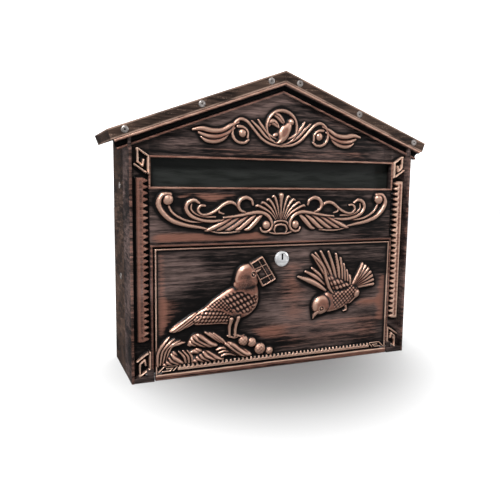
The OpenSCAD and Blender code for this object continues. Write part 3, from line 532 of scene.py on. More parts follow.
def carvedPatch(name, canvas, ground, back, body, replaced, touch=1.0):
    # closes the drawn grid into a slab and marks where the brush would touch it, where painted
    # shade falls and where crests get a painted highlight
    h, z = canvas["height"], canvas["z"]
    rows, cols = h.shape
    x = np.broadcast_to(canvas["x"], h.shape)
    recess = ground - h
    front = np.stack([x, recess, z], axis=-1).reshape(-1, 3)
    low = np.stack([x[0], np.full(cols, back), z[0]], axis=-1)
    high = np.stack([x[-1], np.full(cols, back), z[-1]], axis=-1)
    grid = np.arange(rows * cols).reshape(rows, cols)
    lowBack, highBack = rows * cols + np.arange(cols), rows * cols + cols + np.arange(cols)
    quads = np.stack([grid[:-1, :-1], grid[:-1, 1:], grid[1:, 1:], grid[1:, :-1]], -1)
    quads = quads.reshape(-1, 4)
    under = np.stack([grid[0, :-1], lowBack[:-1], lowBack[1:], grid[0, 1:]], -1)
    over = np.stack([grid[-1, :-1], grid[-1, 1:], highBack[1:], highBack[:-1]], -1)
    rear = np.stack([lowBack[:-1], highBack[:-1], highBack[1:], lowBack[1:]], -1)
    faces = np.vstack([quads, under, over, rear]).tolist()
    faces.append([*grid[:, 0].tolist(), int(highBack[0]), int(lowBack[0])])
    faces.append([*grid[::-1, -1].tolist(), int(lowBack[-1]), int(highBack[-1])])
    fine, wide = smoothed(h, reliefWearAndShading["fineReach"]), smoothed(h, reliefWearAndShading["wideReach"])
    bend = (h - fine) * reliefWearAndShading["fineShare"] + (h - wide) * reliefWearAndShading["wideShare"]
    # painted shade: the ground next to raised ornament darkens as if the ornament shaded it
    nearby = smoothed(np.clip(h, 0, 1.5) / 1.5, reliefWearAndShading["shadeReach"])
    stands = np.clip(h / reliefWearAndShading["fullLift"], 0, 1)
    shade = nearby * (1 - stands) * reliefWearAndShading["shadeShare"]
    # hollow: creases keep their black lacquer and get painted shade on top; crest also drives a
    # painted highlight
    fields = {
        "lift": stands,
        "crest": np.clip(bend, 0, 1) * touch,
        "hollow": np.clip(-bend * reliefWearAndShading["hollowShare"] + shade, 0, 1),
        "rub": np.clip(canvas["rub"], 0, 1),
    }
    marks = {k: np.concatenate([f.ravel(), np.zeros(2 * cols)]) for k, f in fields.items()}
    points = np.vstack([front, low, high])
    return addMesh(name, points, faces, body, castingPatinaAndShading, marks, replaced)


def sweep(name, path, profile, body, material, closed=False, replaced=(), rounding=0.4):
    # runs a profile of (offset to the left, recess, rub, hollow) along a path of (x, z); hollow
    # darkens recessed points: black lacquer with painted shade
    path = np.asarray(path, float)
    n, m = len(path), len(profile)
    points, rubs, hollows = [], [], []
    for i in range(n):
        before = path[i] - path[i - 1] if (i or closed) else path[1] - path[0]
        after = path[(i + 1) % n] - path[i] if (i < n - 1 or closed) else before
        before, after = before / np.hypot(*before), after / np.hypot(*after)
        mitre = before + after
        mitre /= np.hypot(*mitre)
        side = np.array([-mitre[1], mitre[0]]) / max(mitre @ after, 0.2)
        for offset, recess, rub, *hollow in profile:
            x, z = path[i] + side * offset
            points.append([x, recess, z])
            rubs.append(rub)
            hollows.append(hollow[0] if hollow else 0.0)
    faces = []
    for i in range(n if closed else n - 1):
        for j in range(m):
            a, b = i * m + j, i * m + (j + 1) % m
            c, d = (i + 1) % n * m + (j + 1) % m, (i + 1) % n * m + j
            faces.append([a, b, c, d])
    if not closed:
        faces += [[j for j in range(m - 1, -1, -1)], [(n - 1) * m + j for j in range(m)]]
    marks = {"rub": rubs, "hollow": hollows, "lift": rubs,
             "crest": [0.7 * r for r in rubs]}
    piece = addMesh(name, points, faces, body, material, marks, replaced)
    outward(piece)
    if rounding:
        soften(piece, rounding)
    return piece


def outward(piece):
    work = bmesh.new()
    work.from_mesh(piece.data)
    bmesh.ops.recalc_face_normals(work, faces=work.faces)
    work.to_mesh(piece.data)
    work.free()


roundedEdge = {"weldReach": 0.00001, "segments": 2, "fromAngle": 32}


def soften(piece, width, weld=False):
    # rounds the edges; a carried-over CAD mesh is welded first
    if weld:
        joinUp = piece.modifiers.new("joinUp", "WELD")
        joinUp.merge_threshold = roundedEdge["weldReach"]
    bevel = piece.modifiers.new("roundedEdges", "BEVEL")
    bevel.width, bevel.segments = width * 0.001, roundedEdge["segments"]
    bevel.limit_method, bevel.angle_limit = "ANGLE", math.radians(roundedEdge["fromAngle"])
    bevel.harden_normals = True
    bevel.use_clamp_overlap = True


def boxes(name, blocks, body, material, replaced, rounding=0.5):
    # blocks are (x0, x1, recess0, recess1, z0, z1)
    points, faces = [], []
    for x0, x1, y0, y1, z0, z1 in blocks:
        k = len(points)
        points += [[x, y, z] for z in (z0, z1) for y in (y0, y1) for x in (x0, x1)]
        faces += [[k + i for i in f] for f in ((0, 2, 3, 1), (4, 5, 7, 6), (0, 1, 5, 4),
                                               (2, 6, 7, 3), (0, 4, 6, 2), (1, 3, 7, 5))]
    marks = {key: [0.0] * len(points) for key in ("rub", "lift", "crest", "hollow")}
    piece = addMesh(name, points, faces, body, material, marks, replaced)
    soften(piece, rounding)
    return piece


gable = {
    "rows": 112,
    "step": 0.62,
    "slotHalf": 161.3,      # beside the slot's frame the gable starts higher up
    "lowBeside": 263.4,
    "lowOver": 256.0,
    "roofDrop": 22.4,
    "groundRises": (150, 12),
    "stem": [[-1, 271.1, 3.4], [14, 273, 3.8], [26, 279, 3.8], [36, 289, 3.8], [45, 298, 4.2],
        [53, 300.5, 4.2], [60, 296, 4.2], [63.5, 288, 4.2], [62, 279, 4], [56, 274, 3.6],
        [48, 273.5, 3.6], [43, 277, 3]],
    "leaves": [
        [[8, 275, 2.5], [20, 281, 4], [30, 291, 4.4], [39, 299, 2.4]],
        [[6, 279, 2], [17, 284, 4], [25, 292, 4.6], [31, 301, 2.4]],
        [[56, 297, 3.4], [66, 292, 5.4], [76, 286.5, 6.4], [88, 285.5, 6.6], [100, 287.5, 6],
         [111, 286, 3]],
        [[61, 290, 3.4], [71, 283, 5.4], [82, 279, 6.2], [94, 279.5, 5.8], [104, 283, 3.4]],
        [[68, 283, 3], [75, 277, 5], [85, 273.8, 5.6], [95, 274.5, 5], [101, 278, 2.6]],
        [[57, 292, 4], [50, 291, 4.4], [44.5, 286, 4], [44, 279.5, 3.4]],
    ],
    "scrollBall": (51, 284.5, 5, 4.2),
    "medalRadius": 20,
    "medalTurns": (-95, 266, 24),
    "medalLine": (3.6, 1.2),        # width, and how much wider it is at the top
    "medalMiddle": (0, 293),
    "birdBody": [[12, 301], [5, 298.5], [-2, 294], [-5.5, 286.5], [-5, 279], [-8, 273.5],
        [-1, 274], [6, 279], [10, 285.5], [13, 293.5]],
    "birdHead": (11.5, 300, 4.2, 5.2),
    "birdWindow": (-18, 6, 280, 312),
    "birdBeak": [[14, 300.4, 2.8], [18, 299, 1.6]],
    "birdWings": [
        [[3, 297, 4], [-2, 303, 8], [-8, 308, 7.6], [-13, 309, 3]],
        [[-4, 293, 4], [-10, 298.5, 8], [-15, 299, 7.4], [-17.5, 294, 3.4]],
        [[0, 283, 3], [-7, 284.5, 5.4], [-12, 282, 3]],
    ],
    "wingCuts": [
        [[1, 299.5], [-5, 305.5], [-11, 308.5]],
        [[-6, 295.5], [-11, 298.5], [-16, 297]],
    ],
    "rub": [(-120, 150, 256, 271, 40, 0.62), (20, 110, 292, 318, 30, 0.2)],
}


def sideRise(x):
    # towards the sides the gable's ground rises by a millimetre to the stiles' ground
    start, reach = gable["groundRises"]
    return np.clip((np.abs(x) - start) / reach, 0, 1)


def drawGable():
    end = halfWidth - mailbox["rimWidth"]
    columns = columnSteps((-end, 0), (end, gable["step"]))
    low = np.where(np.abs(columns) > gable["slotHalf"], gable["lowBeside"], gable["lowOver"])
    canvas = newCanvas(columns, low, roofLine(columns, gable["roofDrop"]), gable["rows"])
    for flip in (False, True):
        side = mirrored if flip else list
        rib(canvas, side(gable["stem"]))
        for leaf in gable["leaves"]:
            rib(canvas, side(leaf))
        x, z, r, h = gable["scrollBall"]
        ball(canvas, -x if flip else x, z, r, h)
    (cx, cz), r = gable["medalMiddle"], gable["medalRadius"]
    width, wider = gable["medalLine"]
    rib(canvas, [[cx + r * math.cos(a), cz + r * math.sin(a), width + wider * math.sin(a)]
                 for a in np.radians(np.arange(*gable["medalTurns"]))], 0.75)
    drawMedalBird(canvas)
    canvas["height"] = canvas["height"] + sideRise(canvas["x"][None, :])
    canvas["rub"] = rubbedBands(canvas, gable["rub"])
    return carvedPatch("gable", canvas, mailbox["gableGround"], mailbox["plateBack"], "housing",
                       ("front_casting",))


def drawMedalBird(canvas):
    # small bird with a lifted wing inside the ring
    mound(canvas, gable["birdBody"], 4.8, 6)
    ball(canvas, *gable["birdHead"])
    rib(canvas, gable["birdBeak"], 0.9)
    for wing in gable["birdWings"]:
        rib(canvas, wing, 0.42)
    for line in gable["wingCuts"]:
        part, x, z = window(canvas, *gable["birdWindow"])
        for a, b in zip(line[:-1], line[1:]):
            d = np.subtract(b, a)
            t = np.clip(((x - a[0]) * d[0] + (z - a[1]) * d[1]) / (d @ d), 0, 1)
            away = np.hypot(x - a[0] - t * d[0], z - a[1] - t * d[1])
            canvas["height"][part] -= 0.9 * np.clip(1 - away / 0.9, 0, 1)


drawGable()
print("gable carved")


# the field between the slot and the door
frieze = {
    "rows": 104,
    "step": 0.62,
    "half": 161.2,
    "low": 156.6,
    "high": 219.4,
    "hook": [[138, 213, 5], [147, 212, 6.5], [151.5, 203, 7], [147, 193, 6.5], [137, 184, 6],
        [122, 178.5, 5], [106, 175.5, 4], [94, 173, 2.5]],
    "stems": [
        [[141, 203, 3], [136, 193, 3.2], [126, 186, 3.2], [114, 182, 3], [100, 181, 2]],
        [[104, 203, 3], [110, 206.5, 4.5], [117, 204, 5], [119.5, 197, 5], [115, 189.5, 5],
         [105, 184.5, 4.5], [92, 182, 4], [78, 182.5, 3.5], [64, 185, 3]],
        [[113, 202, 2], [113.5, 196, 2.6], [108, 190.5, 2.6], [98, 187.5, 2.6], [84, 187, 2]],
        [[97, 200, 3], [102.5, 200, 3.6], [105.5, 195, 3.6], [101, 190, 3.4], [92, 190.5, 3.6],
         [82, 195.5, 4.2], [74, 201.5, 4.6], [66, 204, 4.6], [59.5, 201.5, 3.6], [57, 197, 2]],
        [[79.5, 197, 3], [80, 192.5, 3], [74, 190.5, 2]],
        [[37, 201, 3], [39, 206.5, 4], [46, 209.5, 5], [53, 207, 5], [56, 200.5, 5],
         [53, 194.5, 4], [46, 191.5, 3]],
        [[27, 173, 2.4], [24.5, 169, 3], [18, 168.5, 3.5], [12.8, 173, 4], [13, 181, 4.4],
         [18, 188, 4.8], [28, 191.8, 5], [42, 190.5, 4.8], [58, 187.5, 4.2], [74, 186, 3]],
        [[54, 169.5, 2], [67, 168.3, 2.6], [80, 168.5, 2.6], [92, 171, 2.4]],
        [[-1, 181.6, 3], [7, 180, 3], [11, 175, 2.6]],
        [[-1, 177, 3], [6, 175.5, 3], [8.5, 170.5, 2.6], [7, 166.5, 2]],
        [[-1, 165.6, 2.4], [8, 165.6, 2.4], [15, 167.4, 2]],
    ],
    "balls": [(141, 207.5, 6.6, 5.4), (19.5, 176.5, 5.2, 4.6)],
    # first line, its move to the next at each point, count, lift
    "fans": [
        ([[25, 189, 3.4], [33, 181.5, 6.6], [41.5, 173, 5.4], [47, 171, 2.4]],
         [(9, -0.6), (10.6, -0.5), (12.2, 0), (12.4, 0)], 5, 0.5),
        ([[1.6, 184, 1.8], [3, 191, 2.4], [5.5, 202, 3.2], [9, 210.5, 3.4], [12, 210, 2]],
         [(1.7, -0.5), (3, -0.6), (4.4, -2.6), (7, -3.6), (7, -3.8)], 4, 0.68),
    ],
    "middleRay": [[0, 184, 2.6], [0, 195, 3], [0, 205, 4.6], [0, 212, 7]],
    "rub": [(-164, -8, 157, 171, 16, 0.9), (-134, -46, 203, 216, 18, 0.8),
        (40, 150, 158, 168, 30, 0.6), (-100, 120, 172, 180, 30, 0.25)],
}


def drawFrieze():
    columns = columnSteps((-frieze["half"], 0), (frieze["half"], frieze["step"]))
    canvas = newCanvas(columns, frieze["low"], frieze["high"], frieze["rows"])
    for flip in (False, True):
        side = mirrored if flip else list
        rib(canvas, side(frieze["hook"]), 0.6)
        for stem in frieze["stems"]:
            rib(canvas, side(stem), 0.62)
        for x, z, r, h in frieze["balls"]:
            ball(canvas, -x if flip else x, z, r, h)
        for lines in frieze["fans"]:
            fan(canvas, *lines, side)
    rib(canvas, frieze["middleRay"], 0.6)
    canvas["rub"] = rubbedBands(canvas, frieze["rub"])
    return carvedPatch("frieze", canvas, mailbox["friezeGround"], mailbox["plateBack"], "housing",
                       ("front_casting",))


drawFrieze()
print("frieze carved")


stile = {
    "step": 0.5,
    "rows": 516,
    "inner": 160.9,
    "low": 5.6,
    "high": 263.6,
    "stripOuter": 176.6,
    "stripInner": 168.6,
    "toothTip": 163.4,
    "stripLow": 46,
    "stripTop": 231.5,
    "toothCount": 27,
    "toothHalf": 0.44,      # share of the pitch at its root, and what the tip loses
    "toothTaper": 0.33,
    "stripHeight": 6.6,
    "stripEdge": 1.5,
    "keyLine": [[168, 250.5], [169.2, 244], [174.3, 248.5], [174.8, 263], [162.8, 255],
        [162.8, 236]],
    "keyBar": [[178, 245.5], [165.5, 237]],
    "keyMirror": 269.5,     # a key's height and that of its lower twin add up to this
    "keyWidth": 2.5,
    "keyHeight": 6.2,
    "leftRub": [(150, 190, 138, 206, 14, 0.85), (150, 190, 50, 90, 12, 0.8)],
    "rightRub": 0.68,
    "leftFade": (177, 9),           # the left strip's rub fades towards its outer edge
    "keyRub": (0.95, 0.5),          # upper keys, lower keys
    "touch": (0.9, 0.4),            # right stile, left stile
}


def drawStile(name, flip):
    columns = columnSteps((stile["inner"], 0), (halfWidth - mailbox["rimWidth"], stile["step"]))
    if flip:
        columns = -columns[::-1]
    canvas = newCanvas(columns, stile["low"], stile["high"], stile["rows"])
    x, z = np.abs(canvas["x"][None, :]), canvas["z"]
    pitch = (stile["stripTop"] - stile["stripLow"]) / stile["toothCount"]
    reach = np.clip((stile["stripInner"] - x) / (stile["stripInner"] - stile["toothTip"]), 0, 1)
    half = (stile["toothHalf"] - stile["toothTaper"] * reach) * pitch
    tooth = np.minimum(half - fromTooth(z - stile["stripLow"], pitch),
                       np.minimum(x - stile["toothTip"], stile["stripOuter"] - x))
    strip = np.minimum(x - stile["stripInner"], stile["stripOuter"] - x)
    inside = np.minimum(np.maximum(tooth, strip),
                        np.minimum(z - stile["stripLow"], stile["stripTop"] - z))
    canvas["height"] = roundedUp(inside, stile["stripEdge"], stile["stripHeight"])
    plain = canvas["height"].copy()
    for lower in (False, True):
        for line in (stile["keyLine"], stile["keyBar"]):
            points = [[a, stile["keyMirror"] - b if lower else b, stile["keyWidth"]]
                      for a, b in line]
            rib(canvas, mirrored(points) if flip else points, steps=1, top=stile["keyHeight"])
    onStrip = np.clip(inside / 1.2, 0, 1)
    onKey = np.clip((canvas["height"] - plain) / 3, 0, 1)
    if flip:
        outer, fade = stile["leftFade"]
        toTips = np.clip((outer - x) / fade, 0.2, 1)
        canvas["rub"] = onStrip * toTips * rubbedBands(canvas, stile["leftRub"], both=True)
    else:
        canvas["rub"] = onStrip * stile["rightRub"]
    canvas["rub"] = np.maximum(canvas["rub"], onKey * np.where(z > 200, *stile["keyRub"]))
    touch = np.maximum(onKey, stile["touch"][flip])
    return carvedPatch(name, canvas, mailbox["stileGround"], mailbox["plateBack"], "housing",
                       ("front_casting",), touch)


drawStile("stileRight", False)
drawStile("stileLeft", True)
print("stiles carved")


# profiles are (offset to the left of the path, recess, rub, hollow); hollow darkens the recessed
# points: black lacquer with painted shade
mouldings = {
    "cornice": [(-12.2, 12, 0, 1), (-12.2, 1.2, 0.3), (-12.9, 0.5, 0.85), (-14.3, 0.5, 0.8),
        (-15.4, 1.4, 0.3), (-15.6, 6, 0, 1), (-17.5, 8.8, 0, 1), (-20.6, 9, 0, 1),
        (-21, 6.6, 0.2), (-21.6, 6, 0.6), (-23.0, 6, 0.5), (-24, 6.8, 0.1), (-24, 12, 0, 1)],
    "corniceHalf": 204.4,
    "underRoof": [(-1.1, 2.1, 0), (-12.6, 2.1, 0), (-12.6, 11.8, 0), (-4, 11.8, 0), (-4, 40, 0),
        (-1.1, 40, 0)],
    "slotFrame": [(0, 17.6, 0, 1), (0, 8.1, 0.3), (-0.5, 7.5, 0.75), (-2.1, 7.5, 0.6),
        (-2.6, 8.1, 0.2), (-2.6, 12.2, 0, 1), (-1.2, 17.6, 0, 1)],
    "doorFrame": [(0, 20, 0, 1), (0, 4.6, 0.2), (-0.6, 4, 0.55), (-2.2, 4, 0.4), (-3, 4.8, 0.1),
        (-3, 12.2, 0, 1), (-1.5, 20, 0, 1)],
    "rim": [(0, 40, 0), (0, 0.5, 0.2), (0.5, 0, 0.35), (2.9, 0, 0.3), (3.4, 0.6, 0.2),
        (3.4, 12.2, 0), (3, 40, 0)],
    "rimTop": 263.4,
    "rimUpper": [(0.02, 40, 0), (0.02, 2.2, 0), (3, 2.2, 0), (3, 40, 0)],
    "upperTop": 285,
    "eaveHalf": 201,
    "slotPath": [(-160, 221.5), (160, 221.5), (160, 253.5), (-160, 253.5)],
    "doorPath": [(159, 0), (159, 154.1), (-159, 154.1), (-159, 0)],
    # (x0, x1, recess0, recess1, z0, z1) on both sides: the stile's foot, the hinge's
    # lug, the flap's lug and the tabs of the side rivets
    "blocks": [(159, 184.6, 0.5, 12.2, 0, 6.2), (159.2, 167, 2, 12, 0.2, 14),
        (166, 169, 11, 23.5, 258, 268), (181, 184, 34, 70, 102.1, 126.1),
        (181, 184, 34, 70, 209.9, 233.9)],
}


def buildMouldings():
    ridge, eave = ([(-end, roofLine(end)), (0, roofLine(0)), (end, roofLine(end))]
                   for end in (mouldings["corniceHalf"], mouldings["eaveHalf"]))
    for name, path, profile, rounding in (
            ("cornice", ridge, "cornice", 0.35), ("roofSeat", eave, "underRoof", 0.3),
            ("slotFrame", mouldings["slotPath"], "slotFrame", 0.3),
            ("doorFrame", mouldings["doorPath"], "doorFrame", 0.3)):
        replaced = ("front_walls", "front_casting") if name == "roofSeat" else ("front_casting",)
        sweep(name, path, mouldings[profile], "housing", castingPatinaAndShading, name == "slotFrame",
              replaced, rounding)
    for s, name in ((1, "rimRight"), (-1, "rimLeft")):
        line = [(s * halfWidth, 0), (s * halfWidth, mouldings["rimTop"])][::s]
        sweep(name, line, mouldings["rim"], "housing", castingPatinaAndShading,
              replaced=("front_casting",), rounding=0.35)
        upper = [(s * halfWidth, z) for z in (mouldings["rimTop"] - 1, mouldings["upperTop"])]
        sweep(name + "Upper", upper[::s], mouldings["rimUpper"], "housing", castingPatinaAndShading,
              replaced=("front_walls",), rounding=0)
    blocks = [(*sorted((s * x0, s * x1)), *rest) for s in (1, -1)
              for x0, x1, *rest in mouldings["blocks"]]
    boxes("castingDetails", blocks, "housing", castingPatinaAndShading, ("front_casting",))


buildMouldings()
print("mouldings run")


door = {
    "half": 157.5,
    "top": 152.6,
    "ground": 3.5,
    "back": 6.5,
    "splitUp": 16.6,        # crease between the toothed border and the picture
    "lockUp": 135,
    "lockClear": 9,
    "pictureRows": 194,
    "columnSteps": [(-8, 0.6), (14, 1.2), (136, 0.6)],  # coarser where the door is plain
    "beadHalf": 1.1,
    "beadHeight": 1.3,
    "borderRows": 40,
    "knuckle": (0.1, 10, 3.6, 7.6, 4.9, 11.1),
    "returns": [(0.05, 6.3, 0), (2.5, 6.3, 0), (2.5, 19, 0), (0.05, 19, 0)],
    "rub": [(-164, -142, 44, 160, 9, 0.55), (-170, -122, 56, 98, 26, 0.6),
        (138, 170, 44, 110, 14, 0.95), (88, 180, 62, 82, 36, 0.8), (-48, 16, 34, 56, 24, 0.6),
        (-30, 180, 14, 66, 50, 0.34), (-14, 50, 56, 134, 34, 0.5),
        (-150, 110, 141, 160, 40, 0.3)],
}

border = {
    "step": 0.6,
    "bottom": 0.5,
    "toothPitch": 5.26,
    "toothHalf": 0.36,
    "toothTaper": 0.2,
    "toothRoot": 13,
    "half": 131.5,
    "low": 9.6,
    "stripTop": 13.2,
    "toothTop": 16.1,
    "height": 1.9,
    "edge": 0.9,
    "rimTop": 7,
    "rimHeight": 2,
    "cornerLines": [
        [(0, 0), (6.5, 6.2), (21, 6.2)],
        [(4.4, 0.6), (13.5, 0.6), (16.6, 3.6), (9.5, 3.6)],
        [(17.5, 0.6), (22, 5.2)],
    ],
    "cornerPlace": (3.5, 9.4, 1.7),     # in from the side, up, line width
    "cornerHeight": 1.8,
    "rub": 0.6,
}

dove = {
    "body": [[-118, 71], [-100, 81.5], [-90, 89.5], [-78, 97.5], [-66, 103.5], [-54, 106],
        [-38, 104], [-31, 92], [-33, 79], [-42, 69.5], [-54, 64.5], [-66, 58.5], [-80, 60],
        [-98, 60.5], [-112, 62]],
    "neck": [[-64, 103], [-61.5, 112], [-50, 118], [-36, 113], [-32, 102], [-32, 90], [-44, 86],
        [-58, 92]],
    "head": [[-61.5, 108], [-61, 118], [-56.5, 127], [-48, 131.2], [-40, 130], [-33.5, 123.5],
        [-31.5, 114], [-34, 104], [-50, 101]],
    "shoulder": [[-78, 92], [-66, 98.5], [-50, 98], [-38, 91], [-36, 80], [-46, 71], [-60, 73],
        [-72, 82]],
    "chest": [[-40, 94], [-33.5, 92], [-33.5, 80], [-42, 71], [-50, 67.5], [-44, 76]],
    "coverts": [[-114, 71], [-98, 79], [-84, 79], [-68, 71], [-60, 62.5], [-80, 61.5],
        [-100, 61.8], [-112, 64]],
    "middle": [[-98, 81], [-86, 90], [-76, 92], [-68, 82], [-66, 73], [-82, 79]],
    "tail": [[-120, 72.5], [-108, 77], [-104, 68], [-112, 62.4], [-134, 54.5], [-141, 58.2]],
    # ring, height, reach of the rounding, melted into what is there
    "mounds": [("tail", 3.6, 5, False), ("body", 6.2, 17, False), ("neck", 6.6, 15, True),
               ("head", 7.0, 13, True)],
    "feathers": [
        ("shoulder", (-54, 4.7), (22, 7.0), 1.6),
        ("coverts", (-4, 4.4), (62, 4.0), 1.2, 1.0),
        ("middle", (-48, 3.4), (38, 3.4), 0.9, 1.5),
        ("chest", (-70, 4.2), (10, 4.4), 0.9, 1.5),
    ],
    "eye": (-39.5, 118.5),
    "beak": [[-35, 121.5, 6], [-31, 123.4, 5], [-26, 126.5, 2.5]],
    "legs": [
        [[-67, 66, 9], [-68, 56, 4.6], [-68, 44, 4]],
        [[-58, 67, 8], [-60, 56, 4.6], [-61, 44, 4]],
        [[-70, 45, 3], [-62, 42, 3], [-56, 43, 2]],
        [[-62, 46, 3], [-54, 43, 3], [-49, 44, 2]],
    ],
}

letter = {
    "corners": [[-42, 131], [-27.5, 138.5], [-10, 111], [-26, 103.5]],
    "height": 3.2,
    "cords": [
        ((-33, 135.6), (-15.6, 108.5)),
        ((-38, 124), (-22, 129.6)),
        ((-30, 111), (-14.5, 117.6)),
    ],
}

flyer = {
    "head": [[43, 73], [46, 81], [53, 85.5], [62, 86], [69, 80], [69.5, 70], [62, 63], [52, 61],
        [45.5, 65]],
    "body": [[60, 86], [70, 92], [84, 98], [100, 99], [110, 94], [110, 86], [102, 77], [90, 69],
        [76, 64.5], [62, 65]],
    "bodyScales": [[70, 87], [84, 96], [104, 97], [108, 90], [100, 79], [88, 70], [74, 67]],
    "wingPad": [[60, 108], [66, 113], [80, 108], [98, 100], [96, 93], [80, 88], [68, 95]],
    "tips": [[42, 138], [46.5, 140], [54, 142], [65, 141.5], [76, 138], [83, 132.5], [88, 124.5],
        [93, 116], [98, 109]],
    "leading": [[82, 81, 3], [70, 90, 4.4], [63, 104, 5], [58, 120, 5], [50, 131, 5],
        [42, 138, 3]],
    "farWing": [
        [[62, 92, 4], [50, 100, 7], [38, 106, 7], [23, 111.5, 3]],
        [[61, 99, 3], [48, 109.5, 6], [33, 117.5, 3]],
        [[59, 105, 3], [52, 113, 5], [42, 121.5, 3]],
    ],
    "eye": (54.5, 69.5),
    "beak": [[50, 66, 7], [46.5, 61, 4.5], [45, 56.5, 1.6]],
    "thigh": (106, 86, 7, 6),
    "feet": [[[106, 82, 5], [100, 75, 3.4], [96, 73, 2]], [[92, 70, 4], [94, 65, 3], [90, 63, 2]]],
    "wingRoot": ((67, 98), (30, -2)),
    "tailTurns": (66, -11, 7),      # first angle, step, count
    # (x, z, how far out along the feather, width)
    "tailFeather": [(100, 93, 4, 4.4), (103, 95, 18, 5), (104, 96, 30, 4.4)],
}

rocks = {
    "lumps": [
        ([[-150, 16], [-146, 24], [-137, 33.5], [-130, 26], [-125, 16]], 5, 9),
        ([[-114, 16], [-108, 26], [-98, 31], [-88, 26], [-74, 16]], 5.4, 11),
        ([[-120, 38], [-116, 49], [-107, 52], [-96, 46], [-82, 35], [-95, 33], [-110, 36]], 5.4,
         6),
        ([[-76, 36], [-66, 38], [-52, 30], [-38, 19], [-50, 17], [-66, 24]], 5, 6),
        ([[-118, 29.4], [-109, 35], [-101.6, 30.4], [-108, 27]], 4.4, 4),
    ],
    "pebbles": [(-50, 37, 6.6, 5), (-39, 34, 6, 5), (-28, 25, 7.4, 5.4), (-15, 21, 5, 4)],
    "fans": [
        ([[-155, 17, 3], [-154.5, 32, 4], [-148, 43, 4.4], [-141, 50, 2]],
         [(3, 1.5), (5, 2), (6, -0.5), (6, -2.6)], 4, 0.8),
        ([[-122, 18, 3], [-124, 25, 4], [-130, 32, 2]], [(4, 0), (4.5, 0), (5, 0)], 3, 0.8),
        ([[-98, 51.5, 3], [-90, 46, 4.4], [-80, 38, 2.4]], [(5, -1), (5, -1.5), (5, -2)], 3, 0.8),
        ([[-84, 29, 3], [-76, 31, 4], [-68, 26, 2.4]], [(3, -4), (3, -4), (4, -3)], 3, 0.8),
    ],
}


def drawDove(canvas):
    for ring, height, reach, join in dove["mounds"]:
        mound(canvas, dove[ring], height, reach, join=join)
    rib(canvas, dove["beak"], 0.9)
    for ring, *cut in dove["feathers"]:
        feathers(canvas, dove[ring], *cut)
    part, x, z, depth = depthInside(canvas, dove["tail"])
    canvas["height"][part] += 0.9 * (grooves(x, z, 35, 2.9) - 0.6) * np.clip(depth, 0, 1)
    for line in dove["legs"]:
        rib(canvas, line, 0.8)
    drawEye(canvas, dove["eye"])


eye = {"reach": 4, "ring": 2.1, "ringHalf": 0.9, "cut": 1.9, "bead": 1.3, "rise": 0.7}


def drawEye(canvas, middle):
    # round eye: a ring cut round a small bead
    (x0, z0), r = middle, eye["reach"]
    part, x, z = window(canvas, x0 - r, x0 + r, z0 - r, z0 + r)
    away = np.hypot(x - x0, z - z0)
    ring = 1 - np.abs(away - eye["ring"]) / eye["ringHalf"]
    canvas["height"][part] -= eye["cut"] * np.clip(ring, 0, 1)
    canvas["height"][part] += eye["rise"] * np.clip(1 - away / eye["bead"], 0, 1)


def drawLetter(canvas):
    corners = letter["corners"]
    part, _, _, depth = depthInside(canvas, corners, steps=1)
    raiseTo(canvas, part, letter["height"] * np.clip(depth / 0.8, 0, 1))
    for i in range(4):
        a, b = corners[i], corners[(i + 1) % 4]
        rib(canvas, [[*a, 2.6], [*b, 2.6]], 1.9, 1)
    for a, b in letter["cords"]:
        rib(canvas, [[*a, 2], [*b, 2]], 2.3, 1)


def drawFlyer(canvas):
    for line in flyer["farWing"]:
        rib(canvas, line, 0.6)
    mound(canvas, flyer["body"], 6, 13)
    mound(canvas, flyer["wingPad"], 5.4, 8)
    tips, ((x, z), (dx, dz)) = flyer["tips"], flyer["wingRoot"]
    for i, t in enumerate(tips):
        f = i / (len(tips) - 1)
        b = (x + dx * f, z + dz * f)
        rib(canvas, [[*b, 4], [(b[0] + t[0]) / 2 + 2 - 2 * f, (b[1] + t[1]) / 2, 5], [*t, 3.4]],
            0.8)
    feathers(canvas, flyer["wingPad"], (-62, 5.0), (12, 8.0), 1.6)
    feathers(canvas, flyer["bodyScales"], (-50, 4.0), (40, 4.0), 1.1)
    rib(canvas, flyer["leading"], 1.15)
    first, change, count = flyer["tailTurns"]
    for i in range(count):
        turn = math.radians(first + i * change)
        rib(canvas, [[x + math.cos(turn) * out, z + math.sin(turn) * out, width]
                     for x, z, out, width in flyer["tailFeather"]], 0.7)
    mound(canvas, flyer["head"], 7, 11)
    rib(canvas, flyer["beak"], 0.9)
    ball(canvas, *flyer["thigh"])
    for foot in flyer["feet"]:
        rib(canvas, foot, 0.9)
    drawEye(canvas, flyer["eye"])


def drawRocks(canvas):
    for ring, height, reach in rocks["lumps"]:
        mound(canvas, ring, height, reach, 3)
    for x, z, r, h in rocks["pebbles"]:
        ball(canvas, x, z, r, h)
        feathers(canvas, [[x - r, z], [x, z + r], [x + r, z], [x, z - r]], (40, 3.2), (-50, 3.2),
                 0.8, 1.0)
    for ring, height, reach in rocks["lumps"]:
        part, x, z, depth = depthInside(canvas, ring, 3)
        canvas["height"][part] += 1.5 * (grooves(x + 0.5 * depth, z, -38, 4.6) - 0.6) \
            * np.clip(depth / 1.5, 0, 1)
    for lines in rocks["fans"]:
        fan(canvas, *lines)


def edgeBead(canvas):
    x, z = np.abs(canvas["x"][None, :]), canvas["z"]
    fromEdge = np.minimum(door["half"] - x, door["top"] - z)
    bead = np.clip(1 - ((fromEdge - door["beadHalf"]) / door["beadHalf"]) ** 2, 0, 1) ** 0.5
    canvas["height"] = np.maximum(canvas["height"], bead * door["beadHeight"])


